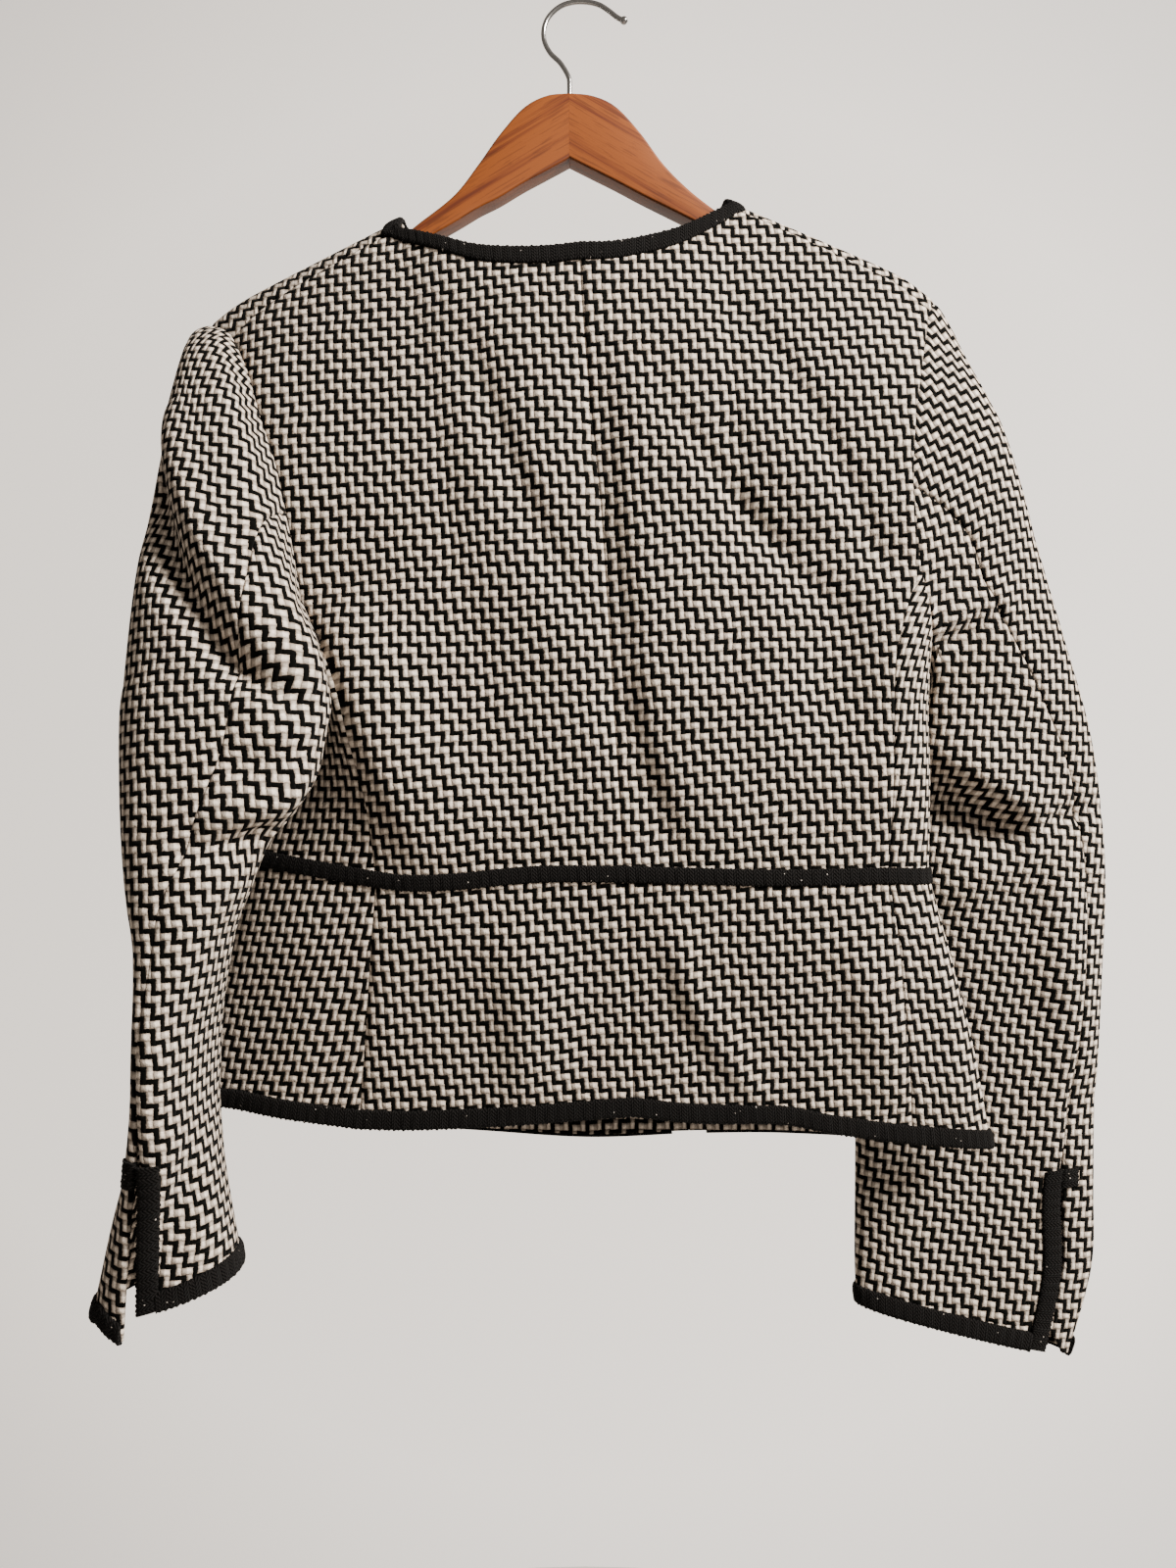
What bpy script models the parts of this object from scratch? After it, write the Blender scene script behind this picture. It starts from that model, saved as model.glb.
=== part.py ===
# A cropped, collarless tweed jacket on a wooden hanger, seen and tabled in its hung shape.
# Frame: origin at the inside top of the hook, where it hangs; +Z up; -Y is the jacket's back,
# +Y its front, which faces the wall; +X is the wearer's right. Tables are in millimetres.
import math
import bpy
import bmesh
import numpy as np

MM = 0.001
CLOTH = 2.0            # thickness of the tweed
SEAM = 0.3             # gap between two pieces at a seam
BRAID_W = 9.4          # width of the woven braid
BRAID_T = 1.5          # thickness of the braid
BRAID_GAP = 0.45       # braid to cloth
VENT_LONG = {"right": 100.0, "left": 72.0}      # length of each vent's braid above its cuff
VENT_OPEN = {"right": 2.6, "left": 7.0}   # degrees each edge stands back at the cuff
CUFF_STOP = {"right": 26.0, "left": 0.6}   # the upper cuff braid ends this far from the vent
CUFF_TUCK = {"right": 16.0, "left": -12.0}   # the upper sleeve ends this much higher there
HOOK_R = 21.5          # radius of the hook's centre line
WIRE_R = 1.5           # radius of the hook's wire
WOOD_T = 14.0          # thickness of the hanger's wood

# ---- seam curves of the torso: columns x, y, z -------------------------------------------
CURVES = {
    # back
    "centre_back": [(0, -36, -164), (1, -42, -194), (5, -48, -247), (12, -52, -315),
                    (18, -53, -410), (25, -49, -526)],
    "neck_back_r": [(0, -36, -164), (19, -35, -163), (40, -32, -158), (59, -28, -151),
                    (77, -22, -140), (89, -16, -131)],
    "neck_back_l": [(0, -36, -164), (-18, -36, -166), (-41, -35, -166), (-62, -32, -163),
                    (-85, -27, -155), (-109, -18, -146)],
    "shoulder_r": [(89, -16, -131), (122, -17, -146), (157, -17, -162), (189, -17, -178),
                   (208, -16, -193)],
    "shoulder_l": [(-109, -18, -146), (-141, -19, -164), (-170, -19, -181), (-192, -20, -197),
                   (-206, -20, -212)],
    "armhole_back_r": [(208, -16, -193), (199, -32, -232), (193, -40, -266), (191, -43, -300),
                       (193, -43, -328), (196, -40, -351)],
    "armhole_back_l": [(-206, -20, -212), (-193, -34, -235), (-183, -43, -264),
                       (-172, -49, -295), (-164, -52, -330), (-158, -51, -371)],
    "princess_back_r": [(196, -40, -351), (186, -47, -375), (179, -50, -406), (178, -50, -450),
                        (177, -48, -494), (176, -45, -527)],
    "princess_back_l": [(-158, -51, -371), (-144, -53, -395), (-133, -54, -420),
                        (-127, -53, -449), (-120, -50, -485), (-116, -46, -529)],
    "under_r": [(196, -40, -351), (202, -36, -370), (206, -26, -389), (207, -10, -401),
                (204, 5, -396), (199, 15, -384), (194, 20, -370)],
    "under_l": [(-158, -51, -371), (-151, -47, -388), (-149, -38, -401), (-152, -24, -407),
                (-159, -8, -402), (-165, 4, -392), (-168, 12, -379)],
    # front
    "armhole_front_r": [(208, -16, -193), (214, -5, -185), (212, 8, -193), (201, 21, -226),
                        (193, 27, -265), (190, 28, -320), (194, 20, -370)],
    "armhole_front_l": [(-206, -20, -212), (-222, -8, -200), (-219, 5, -204), (-202, 19, -238),
                        (-186, 25, -280), (-176, 24, -330), (-168, 12, -379)],
    "princess_front_r": [(194, 20, -370), (197, 8, -405), (195, -1, -445), (190, -7, -488),
                         (186, -11, -527)],
    "princess_front_l": [(-168, 12, -379), (-172, 8, -420), (-172, 2, -470), (-168, -4, -521)],
    "neck_front_r": [(89, -16, -131), (88, -4, -124), (86, 8, -129), (76, 22, -156),
                     (55, 31, -190), (32, 34, -207), (10, 35, -212)],
    "neck_front_l": [(-109, -18, -146), (-108, -5, -135), (-106, 8, -138), (-93, 22, -164),
                     (-64, 31, -199), (-30, 34, -213), (9.4, 35, -214)],
    "edge_front_r": [(10, 35, -212), (22, 37, -300), (35, 35, -400), (50.3, 28, -531)],
    "edge_front_l": [(9.4, 35, -214), (21.4, 37, -300), (34.4, 35, -400), (49.7, 28, -531)],
    # waist
    "waist_back_r": [(25, -49, -526), (67, -50, -527), (114, -50, -528), (176, -45, -527)],
    "waist_back_l": [(25, -49, -526), (-25, -49, -526), (-67, -49, -530), (-96, -48, -531),
                     (-116, -46, -529)],
    "waist_side_r": [(176, -45, -527), (196, -39, -528), (203, -27, -528), (199, -16, -528),
                     (186, -11, -527)],
    "waist_side_l": [(-116, -46, -529), (-156, -38, -523), (-184, -27, -519),
                     (-192, -16, -518), (-184, -8, -519), (-168, -4, -521)],
    "waist_front_r": [(186, -11, -527), (150, 4, -529), (100, 20, -531), (50.3, 28, -531)],
    "waist_front_l": [(-168, -4, -521), (-110, 14, -527), (-50, 24, -531), (49.7, 28, -531)],
    # peplum
    "centre_peplum": [(25, -49, -526), (28, -46, -580), (30, -40, -630), (31, -37, -665)],
    "seam_peplum_back_r": [(176, -45, -527), (182, -44, -565), (188, -38, -620),
                           (194, -31, -683)],
    "seam_peplum_back_l": [(-116, -46, -529), (-119, -44, -570), (-123, -39, -620),
                           (-128, -34, -673)],
    "seam_peplum_front_r": [(186, -11, -527), (197, -10, -575), (208, -11, -630),
                            (216, -10, -688)],
    "seam_peplum_front_l": [(-168, -4, -521), (-180, -3, -570), (-194, 0, -620),
                            (-206, 2, -672)],
    "edge_peplum_r": [(50.3, 28, -531), (57.3, 20, -590), (63.3, 11, -645), (67.3, 7, -688)],
    "edge_peplum_l": [(49.7, 28, -531), (56.7, 20, -590), (62.7, 11, -645), (66.7, 7, -688)],
    "hem_back_r": [(31, -37, -665), (68, -36, -669), (116, -35, -670), (148, -34, -676),
                   (194, -31, -683)],
    "hem_back_l": [(31, -37, -665), (-11, -37, -668), (-54, -37, -671), (-98, -36, -673),
                   (-128, -34, -673)],
    "hem_side_r": [(194, -31, -683), (225, -28, -686), (243, -20, -689), (236, -12, -689),
                   (216, -10, -688)],
    "hem_side_l": [(-128, -34, -673), (-172, -31, -668), (-206, -23, -664), (-237, -10, -666),
                   (-226, 0, -669), (-206, 2, -672)],
    "hem_front_r": [(216, -10, -688), (170, -3, -687), (116, 5, -687), (67.3, 7, -688)],
    "hem_front_l": [(-206, 2, -672), (-140, 4, -680), (-60, 6, -686), (5, 6, -690),
                    (66.7, 7, -688)],
}

# ---- sleeves: a row per section, from the armhole down to the cuff ------------------------
# xo, zo: outer edge; xi, zi: inner edge; yo, yi: their depths; deep: half depth;
# back, front: angles of the two seams round the section, from the outer edge
SLEEVE_COLUMNS = ("xo", "zo", "xi", "zi", "yo", "yi", "deep", "back", "front")
SLEEVE_R = [
    (211, -190, 209, -404, -8, -10, 34, 96, 96),
    (230, -211, 214, -416, -5, 0, 34, 92, 95),
    (248, -248, 209, -436, -2, 12, 33, 86, 94),
    (264, -292, 201, -463, 1, 20, 31, 78, 92),
    (281, -339, 197, -487, 5, 24, 29, 68, 90),
    (297, -387, 194, -512, 9, 26, 27, 58, 88),
    (314, -441, 192, -539, 13, 27, 24, 50, 86),
    (323, -493, 190, -567, 16, 28, 22, 44, 84),
    (326, -543, 184, -598, 17, 29, 20, 41, 82),
    (323, -598, 180, -635, 17, 29, 19, 42, 80),
    (320, -647, 176, -671, 17, 28, 18, 45, 79),
    (318, -689, 175, -707, 15, 27, 16, 48, 78),
    (317, -725, 174, -743, 13, 24, 15, 50, 77),
    (315, -772, 173, -773, 11, 20, 14, 48, 76),
    (300, -824, 173, -796, 9, 16, 13, 45, 75),
]
SLEEVE_L = [
    (-206, -208, -150, -405, -16, -26, 34, 98, 96),
    (-226, -217, -139, -417, -28, -66, 34, 101, 95),
    (-231, -260, -136, -433, -42, -82, 33, 103, 94),
    (-235, -310, -137, -450, -55, -90, 31, 104, 92),
    (-238, -351, -140, -470, -66, -96, 30, 106, 90),
    (-240, -395, -150, -488, -75, -98, 29, 110, 90),
    (-240, -441, -165, -506, -82, -100, 30, 113, 92),
    (-237, -483, -175, -530, -88, -101, 32, 110, 96),
    (-232, -521, -184, -552, -92, -101, 33, 98, 99),
    (-225, -560, -190, -578, -95, -100, 34, 86, 102),
    (-221, -598, -196, -606, -95, -99, 35, 76, 105),
    (-222, -632, -198, -637, -93, -96, 36, 76, 108),
    (-231, -667, -194, -664, -91, -92, 36, 75, 110),
    (-243, -704, -190, -691, -89, -87, 34, 76, 112),
    (-256, -754, -183, -733, -86, -82, 30, 77, 114),
]
NECK_N, SHOULDER_N = 5, 6          # facets along each curve
ARM_N, PRINCESS_N = 7, 6
NECK_FRONT_N, EDGE_N = 5, 8
ARM_FRONT = (0, 0.07, 0.15, 0.26, 0.42, 0.61, 0.81, 1)    # shares of the front armhole
NECK_FRONT = (0, 0.10, 0.21, 0.42, 0.70, 1)               # shares of the front neckline
UNDER_N, PEPLUM_N = 4, 4
SLEEVE_ROWS = 17
SEAM_K = 5                         # facet of the armhole where a sleeve seam starts


def spline(rows, steps):
    """A smooth curve through the rows, at even steps or at given shares of its length."""
    p = np.array(rows, dtype=float)
    ext = np.vstack([2 * p[0] - p[1], p, 2 * p[-1] - p[-2]])
    fine = []
    for i in range(1, len(ext) - 2):
        a, b, c, d = ext[i - 1:i + 3]
        for t in np.linspace(0, 1, 25)[:-1]:
            fine.append(0.5 * (2 * b + (c - a) * t + (2 * a - 5 * b + 4 * c - d) * t * t
                               + (3 * b - a - 3 * c + d) * t ** 3))
    fine = np.array(fine + [p[-1]])
    run = np.concatenate([[0], np.cumsum(np.linalg.norm(np.diff(fine, axis=0), axis=1))])
    share = np.linspace(0, 1, steps + 1) if isinstance(steps, int) else np.array(steps)
    want = share * run[-1]
    return np.stack([np.interp(want, run, fine[:, k]) for k in range(3)], axis=1)


def fractions(line):
    run = np.concatenate([[0], np.cumsum(np.linalg.norm(np.diff(line, axis=0), axis=1))])
    return run / run[-1]


def coons(bottom, top, left, right):
    """A sheet between four seam curves; rows run from bottom to top."""
    u = (fractions(bottom) + fractions(top)) / 2
    v = (fractions(left) + fractions(right)) / 2
    u = u[None, :, None]
    v = v[:, None, None]
    ruled = (1 - v) * bottom[None] + v * top[None] + (1 - u) * left[:, None] + u * right[:, None]
    corner = ((1 - u) * (1 - v) * bottom[0] + u * (1 - v) * bottom[-1]
              + (1 - u) * v * top[0] + u * v * top[-1])
    return ruled - corner


def curve(name, steps):
    return spline(CURVES[name], steps)


def join(*lines):
    out = [lines[0]]
    for line in lines[1:]:
        out.append(line[1:])
    return np.vstack(out)


# ---- the sheets: grids of points, rows upwards -------------------------------------------
def torso():
    sheets = {}
    for s in ("r", "l"):
        side = {"r": "right", "l": "left"}[s]
        across = NECK_N + SHOULDER_N
        waist_b = curve("waist_back_" + s, across)
        waist_s = curve("waist_side_" + s, UNDER_N)
        waist_f = curve("waist_front_" + s, SHOULDER_N)
        arm_b = curve("armhole_back_" + s, ARM_N)
        arm_f = curve("armhole_front_" + s, ARM_FRONT)
        pr_b = curve("princess_back_" + s, PRINCESS_N)
        pr_f = curve("princess_front_" + s, PRINCESS_N)
        shoulder = curve("shoulder_" + s, SHOULDER_N)
        up = PRINCESS_N + ARM_N
        back = coons(waist_b, join(curve("neck_back_" + s, NECK_N), shoulder),
                     curve("centre_back", up)[::-1], join(arm_b, pr_b)[::-1])
        part = coons(waist_s, curve("under_" + s, UNDER_N), pr_b[::-1], pr_f[::-1])
        opening = join(curve("neck_front_" + s, NECK_FRONT), curve("edge_front_" + s, EDGE_N))
        front = coons(waist_f, shoulder[::-1], join(arm_f, pr_f)[::-1], opening[::-1])
        pb = coons(curve("hem_back_" + s, across), waist_b,
                   curve("centre_peplum", PEPLUM_N)[::-1],
                   curve("seam_peplum_back_" + s, PEPLUM_N)[::-1])
        ps = coons(curve("hem_side_" + s, UNDER_N), waist_s,
                   curve("seam_peplum_back_" + s, PEPLUM_N)[::-1],
                   curve("seam_peplum_front_" + s, PEPLUM_N)[::-1])
        pf = coons(curve("hem_front_" + s, SHOULDER_N), waist_f,
                   curve("seam_peplum_front_" + s, PEPLUM_N)[::-1],
                   curve("edge_peplum_" + s, PEPLUM_N)[::-1])
        for name, grid in (("back", back), ("side", part), ("front", front),
                           ("peplum_back", pb), ("peplum_side", ps), ("peplum_front", pf)):
            sheets[name + "_" + side] = grid
    return sheets


def sleeve_rows(table, count):
    """Table rows read at even steps down the sleeve."""
    t = np.array(table, dtype=float)
    steps = np.linspace(0, len(t) - 1, count + 1)
    out = []
    for s in steps:
        i = min(int(s), len(t) - 2)
        f = s - i
        a = t[max(i - 1, 0)]
        b, c = t[i], t[i + 1]
        d = t[min(i + 2, len(t) - 1)]
        row = 0.5 * (2 * b + (c - a) * f + (2 * a - 5 * b + 4 * c - d) * f * f
                     + (3 * b - a - 3 * c + d) * f ** 3)
        out.append(dict(zip(SLEEVE_COLUMNS, row), at=s))
    return out


def ring_angles(row, split):
    """Angles of the 18 points of a section; split opens the back seam, in degrees."""
    back, front = row["back"], row["front"]
    upper = np.linspace(-front, back - split, 2 * SEAM_K + 1)
    under = np.linspace(back + split, 360 - front, 2 * (ARM_N - SEAM_K) + UNDER_N + 1)
    return np.radians(upper), np.radians(under)


def section(row, angles):
    outer = np.array((row["xo"], row["yo"], row["zo"]))
    inner = np.array((row["xi"], row["yi"], row["zi"]))
    middle = (outer + inner) / 2
    wide = (outer - inner) / 2
    w = wide / np.linalg.norm(wide)
    deep = np.array((0.0, -1.0, 0.0))
    deep = deep - w * np.dot(deep, w)
    deep *= row["deep"] / np.linalg.norm(deep)
    c = np.cos(angles)
    s = np.sin(angles)
    c = np.sign(c) * np.abs(c) ** 0.86
    s = np.sign(s) * np.abs(s) ** 0.86
    return middle + np.outer(c, wide) + np.outer(s, deep)


# The body's left edge, which the left sleeve passes in front of: columns z, x
BODY_EDGE_L = [(-300, -177), (-345, -170), (-385, -169), (-415, -164), (-450, -173),
               (-500, -187), (-530, -194), (-600, -217), (-670, -240)]
SLEEVE_FRONT_Y = -58.0


def clear_body(points):
    """Keep the left sleeve outside the body's edge, or in front of its back."""
    z = [r[0] for r in BODY_EDGE_L][::-1]
    x = [r[1] for r in BODY_EDGE_L][::-1]
    limit = np.interp(points[:, 2], z, x)
    ceiling = SLEEVE_FRONT_Y + np.maximum(0, limit - points[:, 0]) * 1.7
    ceiling += np.maximum(0, points[:, 2] + 384) * 1.5
    out = points.copy()
    out[:, 1] = np.minimum(out[:, 1], ceiling)
    return out


def sleeve(side, table):
    s = side[0]
    arm_b = curve("armhole_back_" + s, ARM_N)
    arm_f = curve("armhole_front_" + s, ARM_FRONT)
    under_curve = curve("under_" + s, UNDER_N)
    loop_upper = np.vstack([arm_f[:SEAM_K + 1][::-1], arm_b[1:SEAM_K + 1]])
    loop_under = np.vstack([arm_b[SEAM_K:], under_curve[1:], arm_f[SEAM_K:-1][::-1]])
    rows = sleeve_rows(table, SLEEVE_ROWS)
    up0, un0 = [section(rows[0], a) for a in ring_angles(rows[0], 0)]
    upper, under = [], []
    vent_from = len(table) - 1 - 2.9
    for row in rows:
        open_by = 0.0
        if row["at"] > vent_from:
            open_by = VENT_OPEN[side] * math.sin(min(1.0, (row["at"] - vent_from) / 1.6) * math.pi / 2)
        a_up, a_un = ring_angles(row, open_by)
        t = min(1.0, row["at"] / 2.2)
        blend = (1 - t) ** 2 * (1 + 2 * t)
        pair = [section(row, a_up) + blend * (loop_upper - up0),
                section(row, a_un) + blend * (loop_under - un0)]
        if side == "left" and row["at"] > 0:
            pair = [clear_body(p) for p in pair]
        low = min(1.0, max(0.0, (row["at"] - (len(table) - 2.2)) / 1.2))
        at_seam = np.clip((np.linspace(-SEAM_K, SEAM_K, len(pair[0])) - 3.5) / 1.5, 0, 1)
        pair[0][:, 2] += CUFF_TUCK[side] * low * at_seam
        upper.append(pair[0])
        under.append(pair[1])
    return np.array(upper)[::-1], np.array(under)[::-1]


# ---- from sheets to solids ---------------------------------------------------------------
def quads_of(rows, cols):
    out = []
    for r in range(rows - 1):
        for c in range(cols - 1):
            a = r * cols + c
            out.append((a, a + 1, a + cols + 1, a + cols))
    return out


def shared_normals(sheets):
    """Normals that neighbouring sheets share where their seam points coincide."""
    total = {}
    for grid in sheets.values():
        rows, cols = grid.shape[:2]
        flat = grid.reshape(-1, 3)
        for q in quads_of(rows, cols):
            n = np.cross(flat[q[2]] - flat[q[0]], flat[q[3]] - flat[q[1]])
            for i in q:
                key = tuple(np.round(flat[i], 1))
                total[key] = total.get(key, 0) + n
    out = {}
    for name, grid in sheets.items():
        n = np.array([total[tuple(np.round(p, 1))] for p in grid.reshape(-1, 3)])
        n /= np.linalg.norm(n, axis=1)[:, None]
        out[name] = n.reshape(grid.shape)
    return out


def part_armholes(sheets, normals):
    """Where a sleeve folds back along the body, lay its edge on the outside of the seam."""
    body = {k: g for k, g in sheets.items() if not k.startswith("sleeve")}
    arms = {k: g for k, g in sheets.items() if k.startswith("sleeve")}
    own = {}
    for group in (body, arms):
        own.update(shared_normals(group))
    at = {}
    for k in body:
        for p, n in zip(body[k].reshape(-1, 3), own[k].reshape(-1, 3)):
            at[tuple(np.round(p, 1))] = n
    seen = {}
    for k in arms:
        for c in range(arms[k].shape[1]):
            key = tuple(np.round(arms[k][-1, c], 1))
            nb, ns = at[key], own[k][-1, c]
            fold = max(0.0, min(1.0, (0.1 - float(np.dot(nb, ns))) / 0.4))
            seen[key] = (fold, nb)
            n = normals[k][-1, c] * (1 - fold) + ns * fold
            normals[k][-1, c] = n / np.linalg.norm(n)
            arms[k][-1, c] = arms[k][-1, c] + nb * (CLOTH + 0.5) * fold
    for k in body:
        flat = body[k].reshape(-1, 3)
        nor = normals[k].reshape(-1, 3)
        for i, p in enumerate(flat):
            fold, nb = seen.get(tuple(np.round(p, 1)), (0.0, None))
            if fold > 0:
                n = nor[i] * (1 - fold) + nb * fold
                nor[i] = n / np.linalg.norm(n)


def pull_in(grid, top):
    """Draw the sheet's edges in by half of the seam gap, and its top edge by its own share."""
    g = grid.copy()
    half = SEAM / 2
    for e, inner, by in ((0, 1, half), (-1, -2, top)):
        d = grid[inner] - grid[e]
        g[e] += by * d / np.maximum(np.linalg.norm(d, axis=1)[:, None], 1e-6)
        d = grid[:, inner] - grid[:, e]
        g[:, e] += half * d / np.maximum(np.linalg.norm(d, axis=1)[:, None], 1e-6)
    return g


def solid(name, outer, inner, quads, material, collection):
    """A closed wall between two copies of one patch of quads."""
    n = len(outer)
    verts = np.vstack([outer, inner]) * MM
    faces = [tuple(q) for q in quads]
    faces += [tuple(n + i for i in reversed(q)) for q in quads]
    count = {}
    for q in quads:
        for a, b in zip(q, q[1:] + q[:1]):
            count[(a, b)] = 1
    for a, b in count:
        if (b, a) not in count:
            faces.append((b, a, n + a, n + b))
    mesh = bpy.data.meshes.new(name)
    mesh.from_pydata(verts.tolist(), [], faces)
    bm = bmesh.new()
    bm.from_mesh(mesh)
    bmesh.ops.delete(bm, geom=[v for v in bm.verts if not v.link_faces], context="VERTS")
    bmesh.ops.remove_doubles(bm, verts=bm.verts[:], dist=0.000005)
    bmesh.ops.triangulate(bm, faces=bm.faces[:])
    bmesh.ops.recalc_face_normals(bm, faces=bm.faces[:])
    bm.to_mesh(mesh)
    bm.free()
    mesh.materials.append(material)
    obj = bpy.data.objects.new(name, mesh)
    collection.objects.link(obj)
    return obj


def cloth(name, grid, normals, material, collection):
    top = 1.3 if name.startswith("sleeve") else SEAM / 2
    g = pull_in(grid, top).reshape(-1, 3)
    n = normals.reshape(-1, 3)
    quads = quads_of(*grid.shape[:2])
    solid(name, g + n * CLOTH / 2, g - n * CLOTH / 2, quads, material, collection)


def strip(name, columns, material, collection, out=0.0):
    """A braid: each column is a list of (point, normal) across it."""
    wide = len(columns[0])
    pts = np.array([p for col in columns for p, n in col])
    nor = np.array([n for col in columns for p, n in col])
    nor /= np.linalg.norm(nor, axis=1)[:, None]
    low = CLOTH / 2 + BRAID_GAP + out
    quads = quads_of(len(columns), wide)
    solid(name, pts + nor * (low + BRAID_T), pts + nor * low, quads, material, collection)


def toward(grid, normals, edge, away, width):
    """Points along an edge row of a sheet and at a width in from it, on the sheet."""
    out = []
    for a, b, na, nb in zip(grid[edge], grid[away], normals[edge], normals[away]):
        f = width / np.linalg.norm(b - a)
        out.append((a + (b - a) * f, na + (nb - na) * f))
    return list(zip([p for p in zip(grid[edge], normals[edge])], out))


def cut_end(columns, length, at_start):
    """Shorten a braid at one end by a length."""
    cols = [list(c) for c in columns]
    if at_start:
        cols = cols[::-1]
    left = length
    while True:
        a, b = cols[-1], cols[-2]
        step = np.linalg.norm(np.array(a[0][0]) - np.array(b[0][0]))
        if step > left:
            f = left / step
            cols[-1] = [(pa + (pb - pa) * f, na + (nb - na) * f)
                        for (pa, na), (pb, nb) in zip(a, b)]
            break
        left -= step
        cols.pop()
    return cols[::-1] if at_start else cols


# ---- materials ---------------------------------------------------------------------------
def material(name, colour, roughness, metallic=0.0):
    mat = bpy.data.materials.new(name)
    mat.use_nodes = True
    node = mat.node_tree.nodes["Principled BSDF"]
    node.inputs["Base Color"].default_value = (*colour, 1.0)
    node.inputs["Roughness"].default_value = roughness
    node.inputs["Metallic"].default_value = metallic
    return mat


# ---- the hanger --------------------------------------------------------------------------
# reach: distance from the middle joint; top, under: heights of the arm's edges;
# thick: share of the wood's full thickness
ARM_COLUMNS = ("reach", "top", "under", "thick")
ARM_L = [(0.15, -57, -97, 1.0), (14, -58.5, -104.5, 1.0), (28, -66, -112, 1.0),
         (43, -83, -121, 1.0), (55, -100, -127, 1.0), (70, -119, -136, 1.0),
         (93, -137, -149, 0.95), (103, -145.5, -156, 0.85), (135, -170, -180, 0.8),
         (165, -189, -197, 0.75), (185, -204, -209, 0.6)]
ARM_R = [(0.15, -57, -97, 1.0), (14, -58.5, -104, 1.0), (28, -65, -111, 1.0),
         (43, -81, -119, 1.0), (57, -100, -126, 1.0), (73, -116, -134, 1.0),
         (90, -129, -143, 0.95), (96, -132.5, -146, 0.9), (128, -151, -163, 0.8),
         (163, -167, -178, 0.75), (190, -183, -191, 0.6)]
JOINT_X = -6.5
CORNER = 3.0


def arm(name, table, way, mat, collection):
    bm = bmesh.new()
    rings = []
    for row in table:
        r = dict(zip(ARM_COLUMNS, row))
        x = JOINT_X + way * r["reach"]
        half = WOOD_T / 2 * r["thick"]
        c = min(CORNER, (r["top"] - r["under"]) / 3)
        ring = []
        for y, z, cy, cz in ((half, r["top"], -1, -1), (-half, r["top"], 1, -1),
                             (-half, r["under"], 1, 1), (half, r["under"], -1, 1)):
            centre = (y + cy * c, z + cz * c)
            first = {(-1, -1): 0, (1, -1): 90, (1, 1): 180, (-1, 1): 270}[(cy, cz)]
            for k in range(3):
                a = math.radians(first + 45 * k)
                ring.append(bm.verts.new((x * MM, (centre[0] + c * math.cos(a)) * MM,
                                          (centre[1] + c * math.sin(a)) * MM)))
        rings.append(ring)
    n = len(rings[0])
    for a, b in zip(rings, rings[1:]):
        for k in range(n):
            bm.faces.new((a[k], a[(k + 1) % n], b[(k + 1) % n], b[k]))
    bm.faces.new(rings[0])
    bm.faces.new(rings[-1][::-1])
    bmesh.ops.recalc_face_normals(bm, faces=bm.faces[:])
    mesh = bpy.data.meshes.new(name)
    bm.to_mesh(mesh)
    bm.free()
    mesh.materials.append(mat)
    obj = bpy.data.objects.new(name, mesh)
    collection.objects.link(obj)


def hook(name, mat, collection):
    """Stem, three quarters of a circle and a short flared end with a ball."""
    pts = [(JOINT_X, -56.4), (JOINT_X, -46.0), (-8.5, -40.5), (-13.0, -36.6)]
    for k in range(23):
        a = math.radians(231 - 9 * k)
        pts.append((HOOK_R * math.cos(a), HOOK_R * math.sin(a) - (HOOK_R - WIRE_R)))
    pts = [p for p in pts if not (p[0] > 14.5 and p[1] < 1)]
    pts += [(16.0, -0.4), (19.5, -3.4), (23.5, -6.6), (27.0, -9.0)]
    data = bpy.data.curves.new(name, "CURVE")
    data.dimensions = "3D"
    data.bevel_depth = WIRE_R * MM
    data.bevel_resolution = 2
    data.use_fill_caps = True
    sp = data.splines.new("POLY")
    sp.points.add(len(pts) - 1)
    for p, (x, z) in zip(sp.points, pts):
        p.co = (x * MM, 0.0, z * MM, 1.0)
    data.materials.append(mat)
    wire = bpy.data.objects.new(name + "_wire", data)
    collection.objects.link(wire)
    bpy.context.view_layer.update()
    mesh = bpy.data.meshes.new_from_object(wire.evaluated_get(
        bpy.context.evaluated_depsgraph_get()))
    bpy.data.objects.remove(wire)
    bm = bmesh.new()
    bm.from_mesh(mesh)
    bmesh.ops.remove_doubles(bm, verts=bm.verts[:], dist=0.00001)
    bmesh.ops.recalc_face_normals(bm, faces=bm.faces[:])
    bm.to_mesh(mesh)
    bm.free()
    obj = bpy.data.objects.new(name, mesh)
    collection.objects.link(obj)
    bpy.ops.mesh.primitive_uv_sphere_add(segments=12, ring_count=8, radius=2.3 * MM,
                                         location=(28.0 * MM, 0, -9.7 * MM))
    ball = bpy.context.object
    ball.name = "hook_ball_cutter"
    ball.hide_render = True
    ball.display_type = "WIRE"
    for c in list(ball.users_collection):
        c.objects.unlink(ball)
    bpy.data.collections["cutters"].objects.link(ball)
    mod = obj.modifiers.new("ball", "BOOLEAN")
    mod.operation = "UNION"
    mod.solver = "EXACT"
    mod.object = ball


def collection_named(name):
    c = bpy.data.collections.new(name)
    bpy.context.scene.collection.children.link(c)
    return c


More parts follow.
